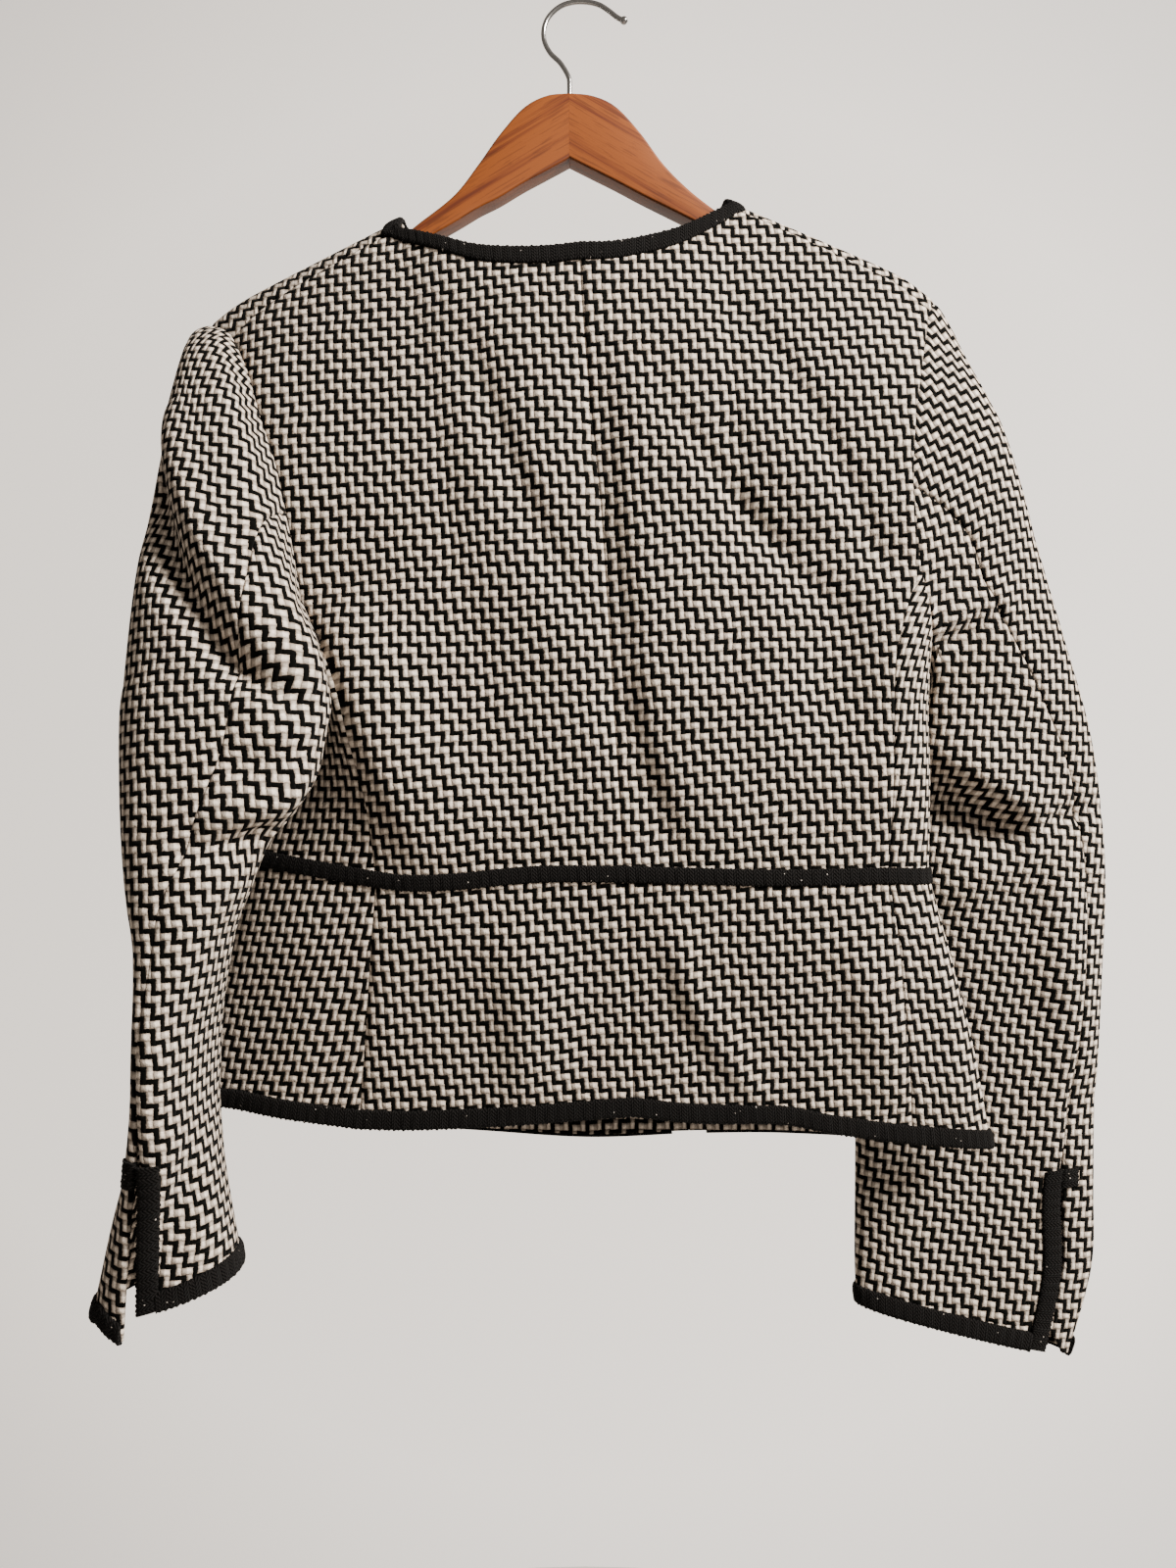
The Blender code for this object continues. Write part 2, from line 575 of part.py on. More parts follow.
def build():
    for o in list(bpy.data.objects):
        bpy.data.objects.remove(o)
    jacket = collection_named("tweed_jacket")
    collection_named("cutters")
    tweed = material("tweed", (0.42, 0.38, 0.34), 0.9)
    braid = material("black_braid", (0.006, 0.006, 0.006), 0.75)
    wood = material("oiled_wood", (0.42, 0.17, 0.06), 0.45)
    wire = material("nickel_wire", (0.62, 0.60, 0.58), 0.25, 1.0)

    sheets = torso()
    for side, table in (("right", SLEEVE_R), ("left", SLEEVE_L)):
        up, un = sleeve(side, table)
        sheets["sleeve_upper_" + side] = up
        sheets["sleeve_under_" + side] = un
    # every sheet's columns run the same way round, so that its normal points out
    for name in list(sheets):
        flips = name.endswith("left") != name.startswith("sleeve")
        if flips:
            sheets[name] = sheets[name][:, ::-1]
    normals = shared_normals(sheets)
    part_armholes(sheets, normals)
    for name in sheets:
        cloth(name, sheets[name], normals[name], tweed, jacket)

    g, n = sheets, normals

    def edge(name, row, away, width):
        cols = toward(g[name], n[name], row, away, width)
        return cols[::-1] if name.endswith("left") else cols

    def flip(cols):
        return [tuple(reversed(c)) for c in cols]

    def chain(parts):
        out = []
        for part in parts:
            out += part if not out else part[1:]
        return out

    # neckline: from the left front edge round the back to the right front edge
    def opening(name, first, last):
        """Points down the free edge of a front, with others a braid's width in."""
        side = name.split("_")[-1]
        grid, nor = (g[name], n[name]) if side == "right" else (g[name][:, ::-1],
                                                               n[name][:, ::-1])
        out = []
        for row in range(first, last, -1):
            a, b = grid[row, -1], grid[row, -2]
            f = BRAID_W / np.linalg.norm(b - a)
            out.append(((a, nor[row, -1]),
                        (a + (b - a) * f, nor[row, -1] * (1 - f) + nor[row, -2] * f)))
        return out

    def neck(side):
        rows = NECK_FRONT_N + EDGE_N
        b = edge("back_" + side, -1, -2, BRAID_W)[:NECK_N + 1]
        return b + opening("front_" + side, rows, EDGE_N - 1)
    cols = neck("left")[::-1] + neck("right")[1:]
    cols = cut_end(cut_end(cols, BRAID_W + 0.8, True), BRAID_W + 0.8, False)
    strip("braid_neck", cols, braid, jacket, 0.25)

    # hem: the same way round, on the peplum's lower edge
    def hem(side):
        return [edge("peplum_" + p + "_" + side, 0, 1, BRAID_W)
                for p in ("back", "side", "front")]
    r, l = hem("right"), hem("left")
    cols = chain([l[2][::-1], l[1][::-1], l[0][::-1], r[0], r[1], r[2]])
    cols = cut_end(cut_end(cols, BRAID_W + 0.8, True), BRAID_W + 0.8, False)
    strip("braid_hem", cols, braid, jacket)

    # waist: half on the bodice and half on the peplum
    def waist(side):
        out = []
        for p in ("back", "side", "front"):
            up = edge(p + "_" + side, 0, 1, BRAID_W / 2)
            low = edge("peplum_" + p + "_" + side, -1, -2, BRAID_W / 2)
            out.append([(a[1], a[0], b[1]) for a, b in zip(up, low)])
        return out
    r, l = waist("right"), waist("left")
    cols = chain([l[2][::-1], l[1][::-1], l[0][::-1], r[0], r[1], r[2]])
    cols = cut_end(cut_end(cols, BRAID_W + 0.8, True), BRAID_W + 0.8, False)
    strip("braid_waist", cols, braid, jacket)

    # front edges, neck to hem
    for side in ("right", "left"):
        cols = opening("front_" + side, EDGE_N, -1)
        cols += opening("peplum_front_" + side, PEPLUM_N, -1)[1:]
        strip("braid_front_" + side, cols, braid, jacket, 0.4)

    # cuffs and vents
    for side in ("right", "left"):
        up, un = "sleeve_upper_" + side, "sleeve_under_" + side
        cols_up = toward(g[up], n[up], 0, 1, BRAID_W)
        cols_un = toward(g[un], n[un], 0, 1, BRAID_W)
        # the back seam is the first column of one under sleeve, and the last of the other
        back_first = np.linalg.norm(g[un][-1, 0] - g[up][-1, -1]) < 1.0
        stop = CUFF_STOP[side]
        keep = cut_end(cols_up, stop if not back_first else 0.6, True)
        keep = cut_end(keep, stop if back_first else 0.6, False)
        strip("braid_cuff_upper_" + side, keep, braid, jacket)
        keep = cut_end(cols_un, BRAID_W + 0.8, back_first)
        keep = cut_end(keep, 0.6, not back_first)
        strip("braid_cuff_under_" + side, keep, braid, jacket)
        grid = g[un] if back_first else g[un][:, ::-1]
        nor = n[un] if back_first else n[un][:, ::-1]
        cols = []
        for row in range(5):
            a, b = grid[row, 0], grid[row, 1]
            na, nb = nor[row, 0], nor[row, 1]
            f = BRAID_W / np.linalg.norm(b - a)
            cols.append(((a, na), (a + (b - a) * f, na + (nb - na) * f)))
        run = np.cumsum([0] + [np.linalg.norm(cols[i + 1][0][0] - cols[i][0][0])
                               for i in range(4)])
        cols = cut_end(cols, max(0.0, run[-1] - VENT_LONG[side] - BRAID_W), False)
        strip("braid_vent_" + side, cols, braid, jacket, 0.7)

    arm("hanger_arm_left", ARM_L, -1, wood, jacket)
    arm("hanger_arm_right", ARM_R, 1, wood, jacket)
    hook("hanger_hook", wire, jacket)


build()
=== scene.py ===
# The looks of the cropped tweed jacket on its wooden hanger. Tables are in millimetres, in the
# part's frame: origin at the inside top of the hook, +Z up, -Y the jacket's back, +X the
# wearer's right. The seam and sleeve tables are the ones the solids are cut from.
import math

import bpy
import bmesh
import numpy as np
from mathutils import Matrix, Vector


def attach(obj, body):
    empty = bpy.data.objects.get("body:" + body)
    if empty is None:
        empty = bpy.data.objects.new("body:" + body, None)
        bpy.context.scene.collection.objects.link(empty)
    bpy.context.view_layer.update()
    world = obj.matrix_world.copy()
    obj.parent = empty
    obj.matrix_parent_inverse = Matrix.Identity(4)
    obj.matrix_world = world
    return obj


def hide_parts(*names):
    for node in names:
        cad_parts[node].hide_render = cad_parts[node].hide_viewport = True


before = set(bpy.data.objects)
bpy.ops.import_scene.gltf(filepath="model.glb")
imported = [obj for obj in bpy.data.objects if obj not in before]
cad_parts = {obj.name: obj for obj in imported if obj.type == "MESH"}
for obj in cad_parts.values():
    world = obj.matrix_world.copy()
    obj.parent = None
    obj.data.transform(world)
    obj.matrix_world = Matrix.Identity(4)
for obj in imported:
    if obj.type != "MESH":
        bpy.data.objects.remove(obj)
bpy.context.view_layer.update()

MM = 0.001
CLOTH = 2.0            # thickness of the tweed
FINE = 3.0             # spacing of the cloth's points
ROLL = ((0.0, 1.15), (1.3, 0.5), (3.0, 0.0))   # distance from a seam, how far it turns in
ROLL_POINTS = 8        # points in from a seam within which the cloth can turn in
INNER_ROLL = 0.4       # share of the turn that the cloth's inside follows
VENT_LONG = {"right": 100.0, "left": 72.0}     # length of each vent's braid
VENT_OPEN = {"right": 2.6, "left": 7.0}        # degrees each edge stands back at the cuff
CUFF_TUCK = {"right": 16.0, "left": -12.0}     # the upper sleeve ends this much higher there
CUFF_STOP = {"right": 26.0, "left": 0.4}       # the upper cuff braid ends this far from the vent
BRAID_STEP = 0.9       # spacing of the braid's cross sections
BRAID_BEAT = 2.75      # length of one bump of the braid's weave
WOOD_T = 14.0          # thickness of the hanger's arms
JOINT_X = -6.5         # the joint between the arms, under the hook's stem
WIRE_R = 1.5           # radius of the hook's wire
BALL_R = 2.35          # radius of the ball at its tip
BALL_HALF = 2.3        # half the ball's length along the wire

# ---- seam lines: points x, y, z; _r and _l are the right and the left half ----------------
CURVES = {
    # back
    "centre_back": [(0, -36, -164), (1, -42, -194), (5, -48, -247), (12, -52, -315),
                    (18, -53, -410), (25, -49, -526)],
    "neck_back_r": [(0, -36, -164), (19, -35, -163), (40, -32, -158), (59, -28, -151),
                    (77, -22, -140), (89, -16, -131)],
    "neck_back_l": [(0, -36, -164), (-18, -36, -166), (-41, -35, -166), (-62, -32, -163),
                    (-85, -27, -155), (-109, -18, -146)],
    "shoulder_r": [(89, -16, -131), (122, -17, -146), (157, -17, -162), (189, -17, -178),
                   (208, -16, -193)],
    "shoulder_l": [(-109, -18, -146), (-141, -19, -164), (-170, -19, -181), (-192, -20, -197),
                   (-206, -20, -212)],
    "armhole_back_r": [(208, -16, -193), (199, -32, -232), (193, -40, -266), (191, -43, -300),
                       (193, -43, -328), (196, -40, -351)],
    "armhole_back_l": [(-206, -20, -212), (-193, -34, -235), (-183, -43, -264),
                       (-172, -49, -295), (-164, -52, -330), (-158, -51, -371)],
    "princess_back_r": [(196, -40, -351), (186, -47, -375), (179, -50, -406), (178, -50, -450),
                        (177, -48, -494), (176, -45, -527)],
    "princess_back_l": [(-158, -51, -371), (-144, -53, -395), (-133, -54, -420),
                        (-127, -53, -449), (-120, -50, -485), (-116, -46, -529)],
    "under_r": [(196, -40, -351), (202, -36, -370), (206, -26, -389), (207, -10, -401),
                (204, 5, -396), (199, 15, -384), (194, 20, -370)],
    "under_l": [(-158, -51, -371), (-151, -47, -388), (-149, -38, -401), (-152, -24, -407),
                (-159, -8, -402), (-165, 4, -392), (-168, 12, -379)],
    # front
    "armhole_front_r": [(208, -16, -193), (214, -5, -185), (212, 8, -193), (201, 21, -226),
                        (193, 27, -265), (190, 28, -320), (194, 20, -370)],
    "armhole_front_l": [(-206, -20, -212), (-222, -8, -200), (-219, 5, -204), (-202, 19, -238),
                        (-186, 25, -280), (-176, 24, -330), (-168, 12, -379)],
    "princess_front_r": [(194, 20, -370), (197, 8, -405), (195, -1, -445), (190, -7, -488),
                         (186, -11, -527)],
    "princess_front_l": [(-168, 12, -379), (-172, 8, -420), (-172, 2, -470), (-168, -4, -521)],
    "neck_front_r": [(89, -16, -131), (88, -4, -124), (86, 8, -129), (76, 22, -156),
                     (55, 31, -190), (32, 34, -207), (10, 35, -212)],
    "neck_front_l": [(-109, -18, -146), (-108, -5, -135), (-106, 8, -138), (-93, 22, -164),
                     (-64, 31, -199), (-30, 34, -213), (9.4, 35, -214)],
    "edge_front_r": [(10, 35, -212), (22, 37, -300), (35, 35, -400), (50.3, 28, -531)],
    "edge_front_l": [(9.4, 35, -214), (21.4, 37, -300), (34.4, 35, -400), (49.7, 28, -531)],
    # waist
    "waist_back_r": [(25, -49, -526), (67, -50, -527), (114, -50, -528), (176, -45, -527)],
    "waist_back_l": [(25, -49, -526), (-25, -49, -526), (-67, -49, -530), (-96, -48, -531),
                     (-116, -46, -529)],
    "waist_side_r": [(176, -45, -527), (196, -39, -528), (203, -27, -528), (199, -16, -528),
                     (186, -11, -527)],
    "waist_side_l": [(-116, -46, -529), (-156, -38, -523), (-184, -27, -519),
                     (-192, -16, -518), (-184, -8, -519), (-168, -4, -521)],
    "waist_front_r": [(186, -11, -527), (150, 4, -529), (100, 20, -531), (50.3, 28, -531)],
    "waist_front_l": [(-168, -4, -521), (-110, 14, -527), (-50, 24, -531), (49.7, 28, -531)],
    # peplum
    "centre_peplum": [(25, -49, -526), (28, -46, -580), (30, -40, -630), (31, -37, -665)],
    "seam_peplum_back_r": [(176, -45, -527), (182, -44, -565), (188, -38, -620),
                           (194, -31, -683)],
    "seam_peplum_back_l": [(-116, -46, -529), (-119, -44, -570), (-123, -39, -620),
                           (-128, -34, -673)],
    "seam_peplum_front_r": [(186, -11, -527), (197, -10, -575), (208, -11, -630),
                            (216, -10, -688)],
    "seam_peplum_front_l": [(-168, -4, -521), (-180, -3, -570), (-194, 0, -620),
                            (-206, 2, -672)],
    "edge_peplum_r": [(50.3, 28, -531), (57.3, 20, -590), (63.3, 11, -645), (67.3, 7, -688)],
    "edge_peplum_l": [(49.7, 28, -531), (56.7, 20, -590), (62.7, 11, -645), (66.7, 7, -688)],
    "hem_back_r": [(31, -37, -665), (68, -36, -669), (116, -35, -670), (148, -34, -676),
                   (194, -31, -683)],
    "hem_back_l": [(31, -37, -665), (-11, -37, -668), (-54, -37, -671), (-98, -36, -673),
                   (-128, -34, -673)],
    "hem_side_r": [(194, -31, -683), (225, -28, -686), (243, -20, -689), (236, -12, -689),
                   (216, -10, -688)],
    "hem_side_l": [(-128, -34, -673), (-172, -31, -668), (-206, -23, -664), (-237, -10, -666),
                   (-226, 0, -669), (-206, 2, -672)],
    "hem_front_r": [(216, -10, -688), (170, -3, -687), (116, 5, -687), (67.3, 7, -688)],
    "hem_front_l": [(-206, 2, -672), (-140, 4, -680), (-60, 6, -686), (5, 6, -690),
                    (66.7, 7, -688)],
}

# ---- sleeves: a row per section, from the armhole down to the cuff ------------------------
# xo, zo: outer edge; xi, zi: inner edge; yo, yi: their depths; deep: half depth;
# back, front: angles of the two seams round the section, from the outer edge
SLEEVE_COLUMNS = ("xo", "zo", "xi", "zi", "yo", "yi", "deep", "back", "front")
SLEEVE_R = [
    (211, -190, 209, -404, -8, -10, 34, 96, 96),
    (230, -211, 214, -416, -5, 0, 34, 92, 95),
    (248, -248, 209, -436, -2, 12, 33, 86, 94),
    (264, -292, 201, -463, 1, 20, 31, 78, 92),
    (281, -339, 197, -487, 5, 24, 29, 68, 90),
    (297, -387, 194, -512, 9, 26, 27, 58, 88),
    (314, -441, 192, -539, 13, 27, 24, 50, 86),
    (323, -493, 190, -567, 16, 28, 22, 44, 84),
    (326, -543, 184, -598, 17, 29, 20, 41, 82),
    (323, -598, 180, -635, 17, 29, 19, 42, 80),
    (320, -647, 176, -671, 17, 28, 18, 45, 79),
    (318, -689, 175, -707, 15, 27, 16, 48, 78),
    (317, -725, 174, -743, 13, 24, 15, 50, 77),
    (315, -772, 173, -773, 11, 20, 14, 48, 76),
    (300, -824, 173, -796, 9, 16, 13, 45, 75),
]
SLEEVE_L = [
    (-206, -208, -150, -405, -16, -26, 34, 98, 96),
    (-226, -217, -139, -417, -28, -66, 34, 101, 95),
    (-231, -260, -136, -433, -42, -82, 33, 103, 94),
    (-235, -310, -137, -450, -55, -90, 31, 104, 92),
    (-238, -351, -140, -470, -66, -96, 30, 106, 90),
    (-240, -395, -150, -488, -75, -98, 29, 110, 90),
    (-240, -441, -165, -506, -82, -100, 30, 113, 92),
    (-237, -483, -175, -530, -88, -101, 32, 110, 96),
    (-232, -521, -184, -552, -92, -101, 33, 98, 99),
    (-225, -560, -190, -578, -95, -100, 34, 86, 102),
    (-221, -598, -196, -606, -95, -99, 35, 76, 105),
    (-222, -632, -198, -637, -93, -96, 36, 76, 108),
    (-231, -667, -194, -664, -91, -92, 36, 75, 110),
    (-243, -704, -190, -691, -89, -87, 34, 76, 112),
    (-256, -754, -183, -733, -86, -82, 30, 77, 114),
]


# facets along each curve of the solids, and where the armhole's and the neckline's fall
NECK_N, SHOULDER_N = 5, 6
ARM_N, PRINCESS_N = 7, 6
NECK_FRONT_N, EDGE_N = 5, 8
UNDER_N, PEPLUM_N = 4, 4
ROUND_N = 2 * ARM_N + UNDER_N      # facets right round the armhole
SLEEVE_N = 17                      # facets down a sleeve
SEAM_K = 5                         # facet of the armhole where a sleeve seam starts
ARM_FRONT = (0, 0.07, 0.15, 0.26, 0.42, 0.61, 0.81, 1)
NECK_FRONT = (0, 0.10, 0.21, 0.42, 0.70, 1)
# usual lengths, which set how finely each curve is cut
LONG = {"neck": 100.0, "shoulder": 150.0, "armhole": 180.0, "armhole_front": 200.0,
        "princess": 165.0, "under": 85.0, "peplum": 145.0, "sleeve": 640.0}

# how far out the body's left side reaches, z and x, and how far forward the sleeve may come
BODY_EDGE_L = [(-300, -177), (-345, -170), (-385, -169), (-415, -164), (-450, -173),
               (-500, -187), (-530, -194), (-600, -217), (-670, -240)]
SLEEVE_FRONT_Y = -58.0
# rows of the sleeve table: where it has left the armhole's shape, and the vent's rows
HEAD_ROWS = 2.2
VENT_ROWS = 2.9
VENT_RAMP = 1.6
TUCK_ROWS = 1.2

# ---- grain lines of the sleeves: the lengthwise threads run along them; columns x, z ------
GRAIN = {
    "right": [(188, -196), (215, -226), (240, -264), (258, -306), (270, -352), (275, -402),
              (272, -470), (265, -540), (257, -620), (250, -700), (240, -820)],
    "left": [(-176, -200), (-199, -229), (-213, -265), (-220, -305), (-222, -350),
             (-219, -420), (-213, -500), (-210, -570), (-209, -640), (-214, -700),
             (-224, -780)],
}

# ---- creases: x0, z0 to x1, z1 bowed sideways by bow; wide each side; high outwards --------
CREASE_COLUMNS = ("x0", "z0", "x1", "z1", "bow", "wide_a", "wide_b", "high")
CREASES_BACK = [
    (-140, -366, -76, -526, -7, 34, 18, 13.0),
    (-68, -205, 12, -392, -8, 8, 12, -4.6),
    (12, -220, 30, -450, -5, 11, 20, -6.5),
    (22, -410, 58, -522, -4, 9, 14, -5.5),
    (38, -232, 160, -384, -10, 7, 9, -3.8),
    (90, -190, 178, -366, 8, 7, 9, -3.4),
    (66, -208, 170, -375, -2, 14, 16, 2.2),
    (148, -350, 156, -470, 0, 16, 24, -5.5),
    (-60, -250, -95, -380, 8, 34, 30, 2.2),
    (30, -330, 60, -500, -8, 36, 30, 1.6),
    (126, -290, 150, -450, -10, 26, 24, -3.5),
    (92, -240, 140, -340, 6, 30, 24, 1.6),
    (-30, -400, 0, -505, 4, 26, 30, -1.4),
    (150, -380, 172, -500, -4, 16, 18, 2.0),
    (-90, -430, -40, -515, 5, 22, 26, 1.5),
    (70, -440, 100, -520, -4, 18, 22, 1.2),
]
CREASES_PEPLUM = [
    (50, -552, 108, -664, -6, 10, 15, 6.0),
    (40, -562, 96, -664, -6, 9, 9, -3.0),
    (66, -570, 90, -640, -3, 5, 7, -2.0),
    (-42, -552, -30, -665, 4, 26, 16, 6.5),
    (-104, -556, -112, -655, 0, 14, 14, 2.6),
    (-95, -560, -104, -650, -3, 14, 16, -1.4),
    (152, -556, 182, -668, 3, 18, 14, 5.5),
    (0, -560, 8, -650, 2, 16, 18, -1.2),
    (205, -560, 225, -670, 3, 9, 10, 1.6),
    (-150, -560, -165, -650, 3, 14, 14, 1.6),
]
CREASES_SLEEVE = {
    "left": [
        (-243, -262, -164, -424, -16, 8, 10, -12.0),
        (-200, -392, -134, -436, -4, 7, 9, -9.0),
        (-226, -262, -150, -412, -12, 9, 9, 7.0),
        (-216, -198, -178, -314, -3, 8, 11, 8.0),
        (-180, -471, -138, -456, 0, 8, 7, -6.0),
        (-194, -495, -138, -477, 0, 9, 7, 6.0),
        (-204, -512, -150, -500, 0, 7, 9, -7.0),
        (-232, -420, -200, -470, 4, 20, 22, 2.5),
        (-215, -540, -200, -610, 4, 10, 12, -2.5),
        (-184, -600, -213, -722, 4, 10, 6, -5.0),
        (-230, -560, -225, -680, 3, 10, 12, 2.5),
    ],
    "right": [
        (288, -512, 304, -668, 0, 16, 14, 8.0),
        (203, -450, 282, -506, 2, 26, 6, 12.0),
        (198, -480, 274, -510, 2, 12, 14, -15.0),
        (210, -548, 296, -498, -4, 10, 14, 6.0),
        (203, -400, 252, -372, 0, 7, 5, -6.0),
        (206, -386, 256, -360, 0, 8, 8, 5.0),
        (268, -506, 322, -488, 0, 8, 6, -6.0),
        (240, -250, 262, -330, 6, 14, 16, 2.0),
        (255, -330, 275, -400, 4, 12, 12, -2.5),
        (228, -560, 300, -610, 6, 18, 18, 2.0),
        (215, -590, 236, -680, 4, 14, 16, -2.0),
        (280, -620, 292, -720, 4, 14, 14, 2.0),
    ],
}
CREASES_FRONT = [
    (-120, -300, -90, -430, 8, 26, 22, 2.2),
    (120, -290, 100, -420, -8, 24, 26, 2.4),
    (-60, -400, -40, -520, 4, 20, 22, -1.6),
    (90, -430, 70, -560, -4, 20, 18, 1.8),
    (-110, -540, -130, -660, 4, 14, 20, 2.6),
    (120, -560, 140, -670, 3, 16, 16, 2.0),
    (-225, -400, -180, -470, 5, 9, 14, -4.0),
    (-230, -520, -190, -500, 3, 10, 10, 3.5),
    (250, -460, 300, -500, -4, 10, 12, -4.0),
    (230, -540, 290, -560, 4, 12, 12, 3.0),
]


def hexcolour(text):
    """sRGB hex to linear red, green and blue."""
    out = []
    for k in (0, 2, 4):
        c = int(text[k:k + 2], 16) / 255
        out.append(c / 12.92 if c <= 0.04045 else ((c + 0.055) / 1.055) ** 2.4)
    return (*out, 1.0)


# ---- curves and sheets -------------------------------------------------------------------
def spline(rows, share):
    p = np.array(rows, dtype=float)
    ext = np.vstack([2 * p[0] - p[1], p, 2 * p[-1] - p[-2]])
    fine = []
    for i in range(1, len(ext) - 2):
        a, b, c, d = ext[i - 1:i + 3]
        t = np.linspace(0, 1, 25)[:-1, None]
        fine.append(0.5 * (2 * b + (c - a) * t + (2 * a - 5 * b + 4 * c - d) * t * t
                           + (3 * b - a - 3 * c + d) * t ** 3))
    fine = np.vstack(fine + [p[-1:]])
    run = length_along(fine)
    want = np.asarray(share) * run[-1]
    return np.stack([np.interp(want, run, fine[:, k]) for k in range(p.shape[1])], axis=1)


def length_along(line):
    return np.concatenate([[0], np.cumsum(np.linalg.norm(np.diff(line, axis=0), axis=1))])


def shares(length, count, dense_start=True, dense_end=True, marks=None):
    """Shares along a curve: count facets, finely cut, with close lines beside its seams."""
    marks = np.linspace(0, 1, count + 1) if marks is None else np.array(marks, dtype=float)
    per = max(2, int(round(length / count / FINE)))
    out = []
    for a, b in zip(marks[:-1], marks[1:]):
        out += list(np.linspace(a, b, per + 1)[:-1])
    out.append(1.0)
    close = [d / length for d, _ in ROLL[1:]]
    if dense_start:
        out = [0.0] + close + [s for s in out if s > close[-1] + 0.3 * FINE / length]
    if dense_end:
        out = [s for s in out if s < 1 - close[-1] - 0.3 * FINE / length]
        out += [1 - c for c in close[::-1]] + [1.0]
    return np.array(out)


def fractions(line):
    run = length_along(line)
    return run / run[-1]


def coons(bottom, top, left, right):
    u = ((fractions(bottom) + fractions(top)) / 2)[None, :, None]
    v = ((fractions(left) + fractions(right)) / 2)[:, None, None]
    ruled = (1 - v) * bottom[None] + v * top[None] + (1 - u) * left[:, None] + u * right[:, None]
    corner = ((1 - u) * (1 - v) * bottom[0] + u * (1 - v) * bottom[-1]
              + (1 - u) * v * top[0] + u * v * top[-1])
    return ruled - corner


def join(*lines):
    return np.vstack([lines[0]] + [line[1:] for line in lines[1:]])


def torso():
    """Every sheet of bodice and peplum as a grid, and where the neckline meets each edge."""
    sheets, corner = {}, {}
    for side in ("right", "left"):
        def curve(name, share):
            return spline(CURVES[name + "_" + side[0]], share)

        neck = shares(LONG["neck"], NECK_N, True, False)
        shoulder = shares(LONG["shoulder"], SHOULDER_N, False, True)
        arm = shares(LONG["armhole"], ARM_N, True, False)
        arm_front = shares(LONG["armhole_front"], ARM_N, True, False, ARM_FRONT)
        princess = shares(LONG["princess"], PRINCESS_N)
        under = shares(LONG["under"], UNDER_N)
        down = shares(LONG["peplum"], PEPLUM_N)
        # the waist and the centre back match the joined curves across from them
        part = NECK_N / (NECK_N + SHOULDER_N)
        across = np.concatenate([neck * part, part + shoulder[1:] * (1 - part)])
        part = ARM_N / (ARM_N + PRINCESS_N)
        up = np.concatenate([arm * part, part + princess[1:] * (1 - part)])
        front_across = (1 - shoulder)[::-1]
        # rows of the free edge follow the solid's: first the neckline, then the front edge
        index = np.concatenate([np.interp(arm_front, ARM_FRONT, range(ARM_N + 1)),
                                ARM_N + princess[1:] * PRINCESS_N])
        on_neck = index <= NECK_FRONT_N
        neck_share = np.interp(index[on_neck], range(NECK_FRONT_N + 1), NECK_FRONT)
        neck_share[-1] = 1.0
        edge_share = (index[~on_neck] - NECK_FRONT_N) / EDGE_N
        free = np.vstack([curve("neck_front", neck_share), curve("edge_front", edge_share)])
        corner[side] = int(on_neck.sum()) - 1

        waist_back, waist_side = curve("waist_back", across), curve("waist_side", under)
        waist_front = curve("waist_front", front_across)
        princess_back = curve("princess_back", princess)
        princess_front = curve("princess_front", princess)
        top = curve("shoulder", shoulder)
        seam_back = curve("seam_peplum_back", down)[::-1]
        seam_front = curve("seam_peplum_front", down)[::-1]
        grids = {
            "back": coons(waist_back, join(curve("neck_back", neck), top),
                          spline(CURVES["centre_back"], up)[::-1],
                          join(curve("armhole_back", arm), princess_back)[::-1]),
            "side": coons(waist_side, curve("under", under), princess_back[::-1],
                          princess_front[::-1]),
            "front": coons(waist_front, top[::-1],
                           join(curve("armhole_front", arm_front), princess_front)[::-1],
                           free[::-1]),
            "peplum_back": coons(curve("hem_back", across), waist_back,
                                 spline(CURVES["centre_peplum"], down)[::-1], seam_back),
            "peplum_side": coons(curve("hem_side", under), waist_side, seam_back, seam_front),
            "peplum_front": coons(curve("hem_front", front_across), waist_front, seam_front,
                                  curve("edge_peplum", down)[::-1]),
        }
        for name, grid in grids.items():
            sheets[name + "_" + side] = grid
    return sheets, corner


def table_rows(table, steps):
    """Rows of a sleeve table at the steps asked for, curved between the rows it gives."""
    t = np.array(table, dtype=float)
    out = []
    for s in steps:
        i = min(int(s), len(t) - 2)
        f = s - i
        a, b, c, d = t[max(i - 1, 0)], t[i], t[i + 1], t[min(i + 2, len(t) - 1)]
        row = 0.5 * (2 * b + (c - a) * f + (2 * a - 5 * b + 4 * c - d) * f * f
                     + (3 * b - a - 3 * c + d) * f ** 3)
        out.append(dict(zip(SLEEVE_COLUMNS, row), at=s))
    return out


def section(row, angles):
    """Points of a sleeve's section, a little squarer than an ellipse, at angles round it."""
    outer = np.array((row["xo"], row["yo"], row["zo"]))
    inner = np.array((row["xi"], row["yi"], row["zi"]))
    middle = (outer + inner) / 2
    wide = (outer - inner) / 2
    w = wide / np.linalg.norm(wide)
    deep = np.array((0.0, -1.0, 0.0))
    deep = deep - w * np.dot(deep, w)
    deep *= row["deep"] / np.linalg.norm(deep)
    c, s = np.cos(angles), np.sin(angles)
    c = np.sign(c) * np.abs(c) ** 0.86
    s = np.sign(s) * np.abs(s) ** 0.86
    return middle + np.outer(c, wide) + np.outer(s, deep)


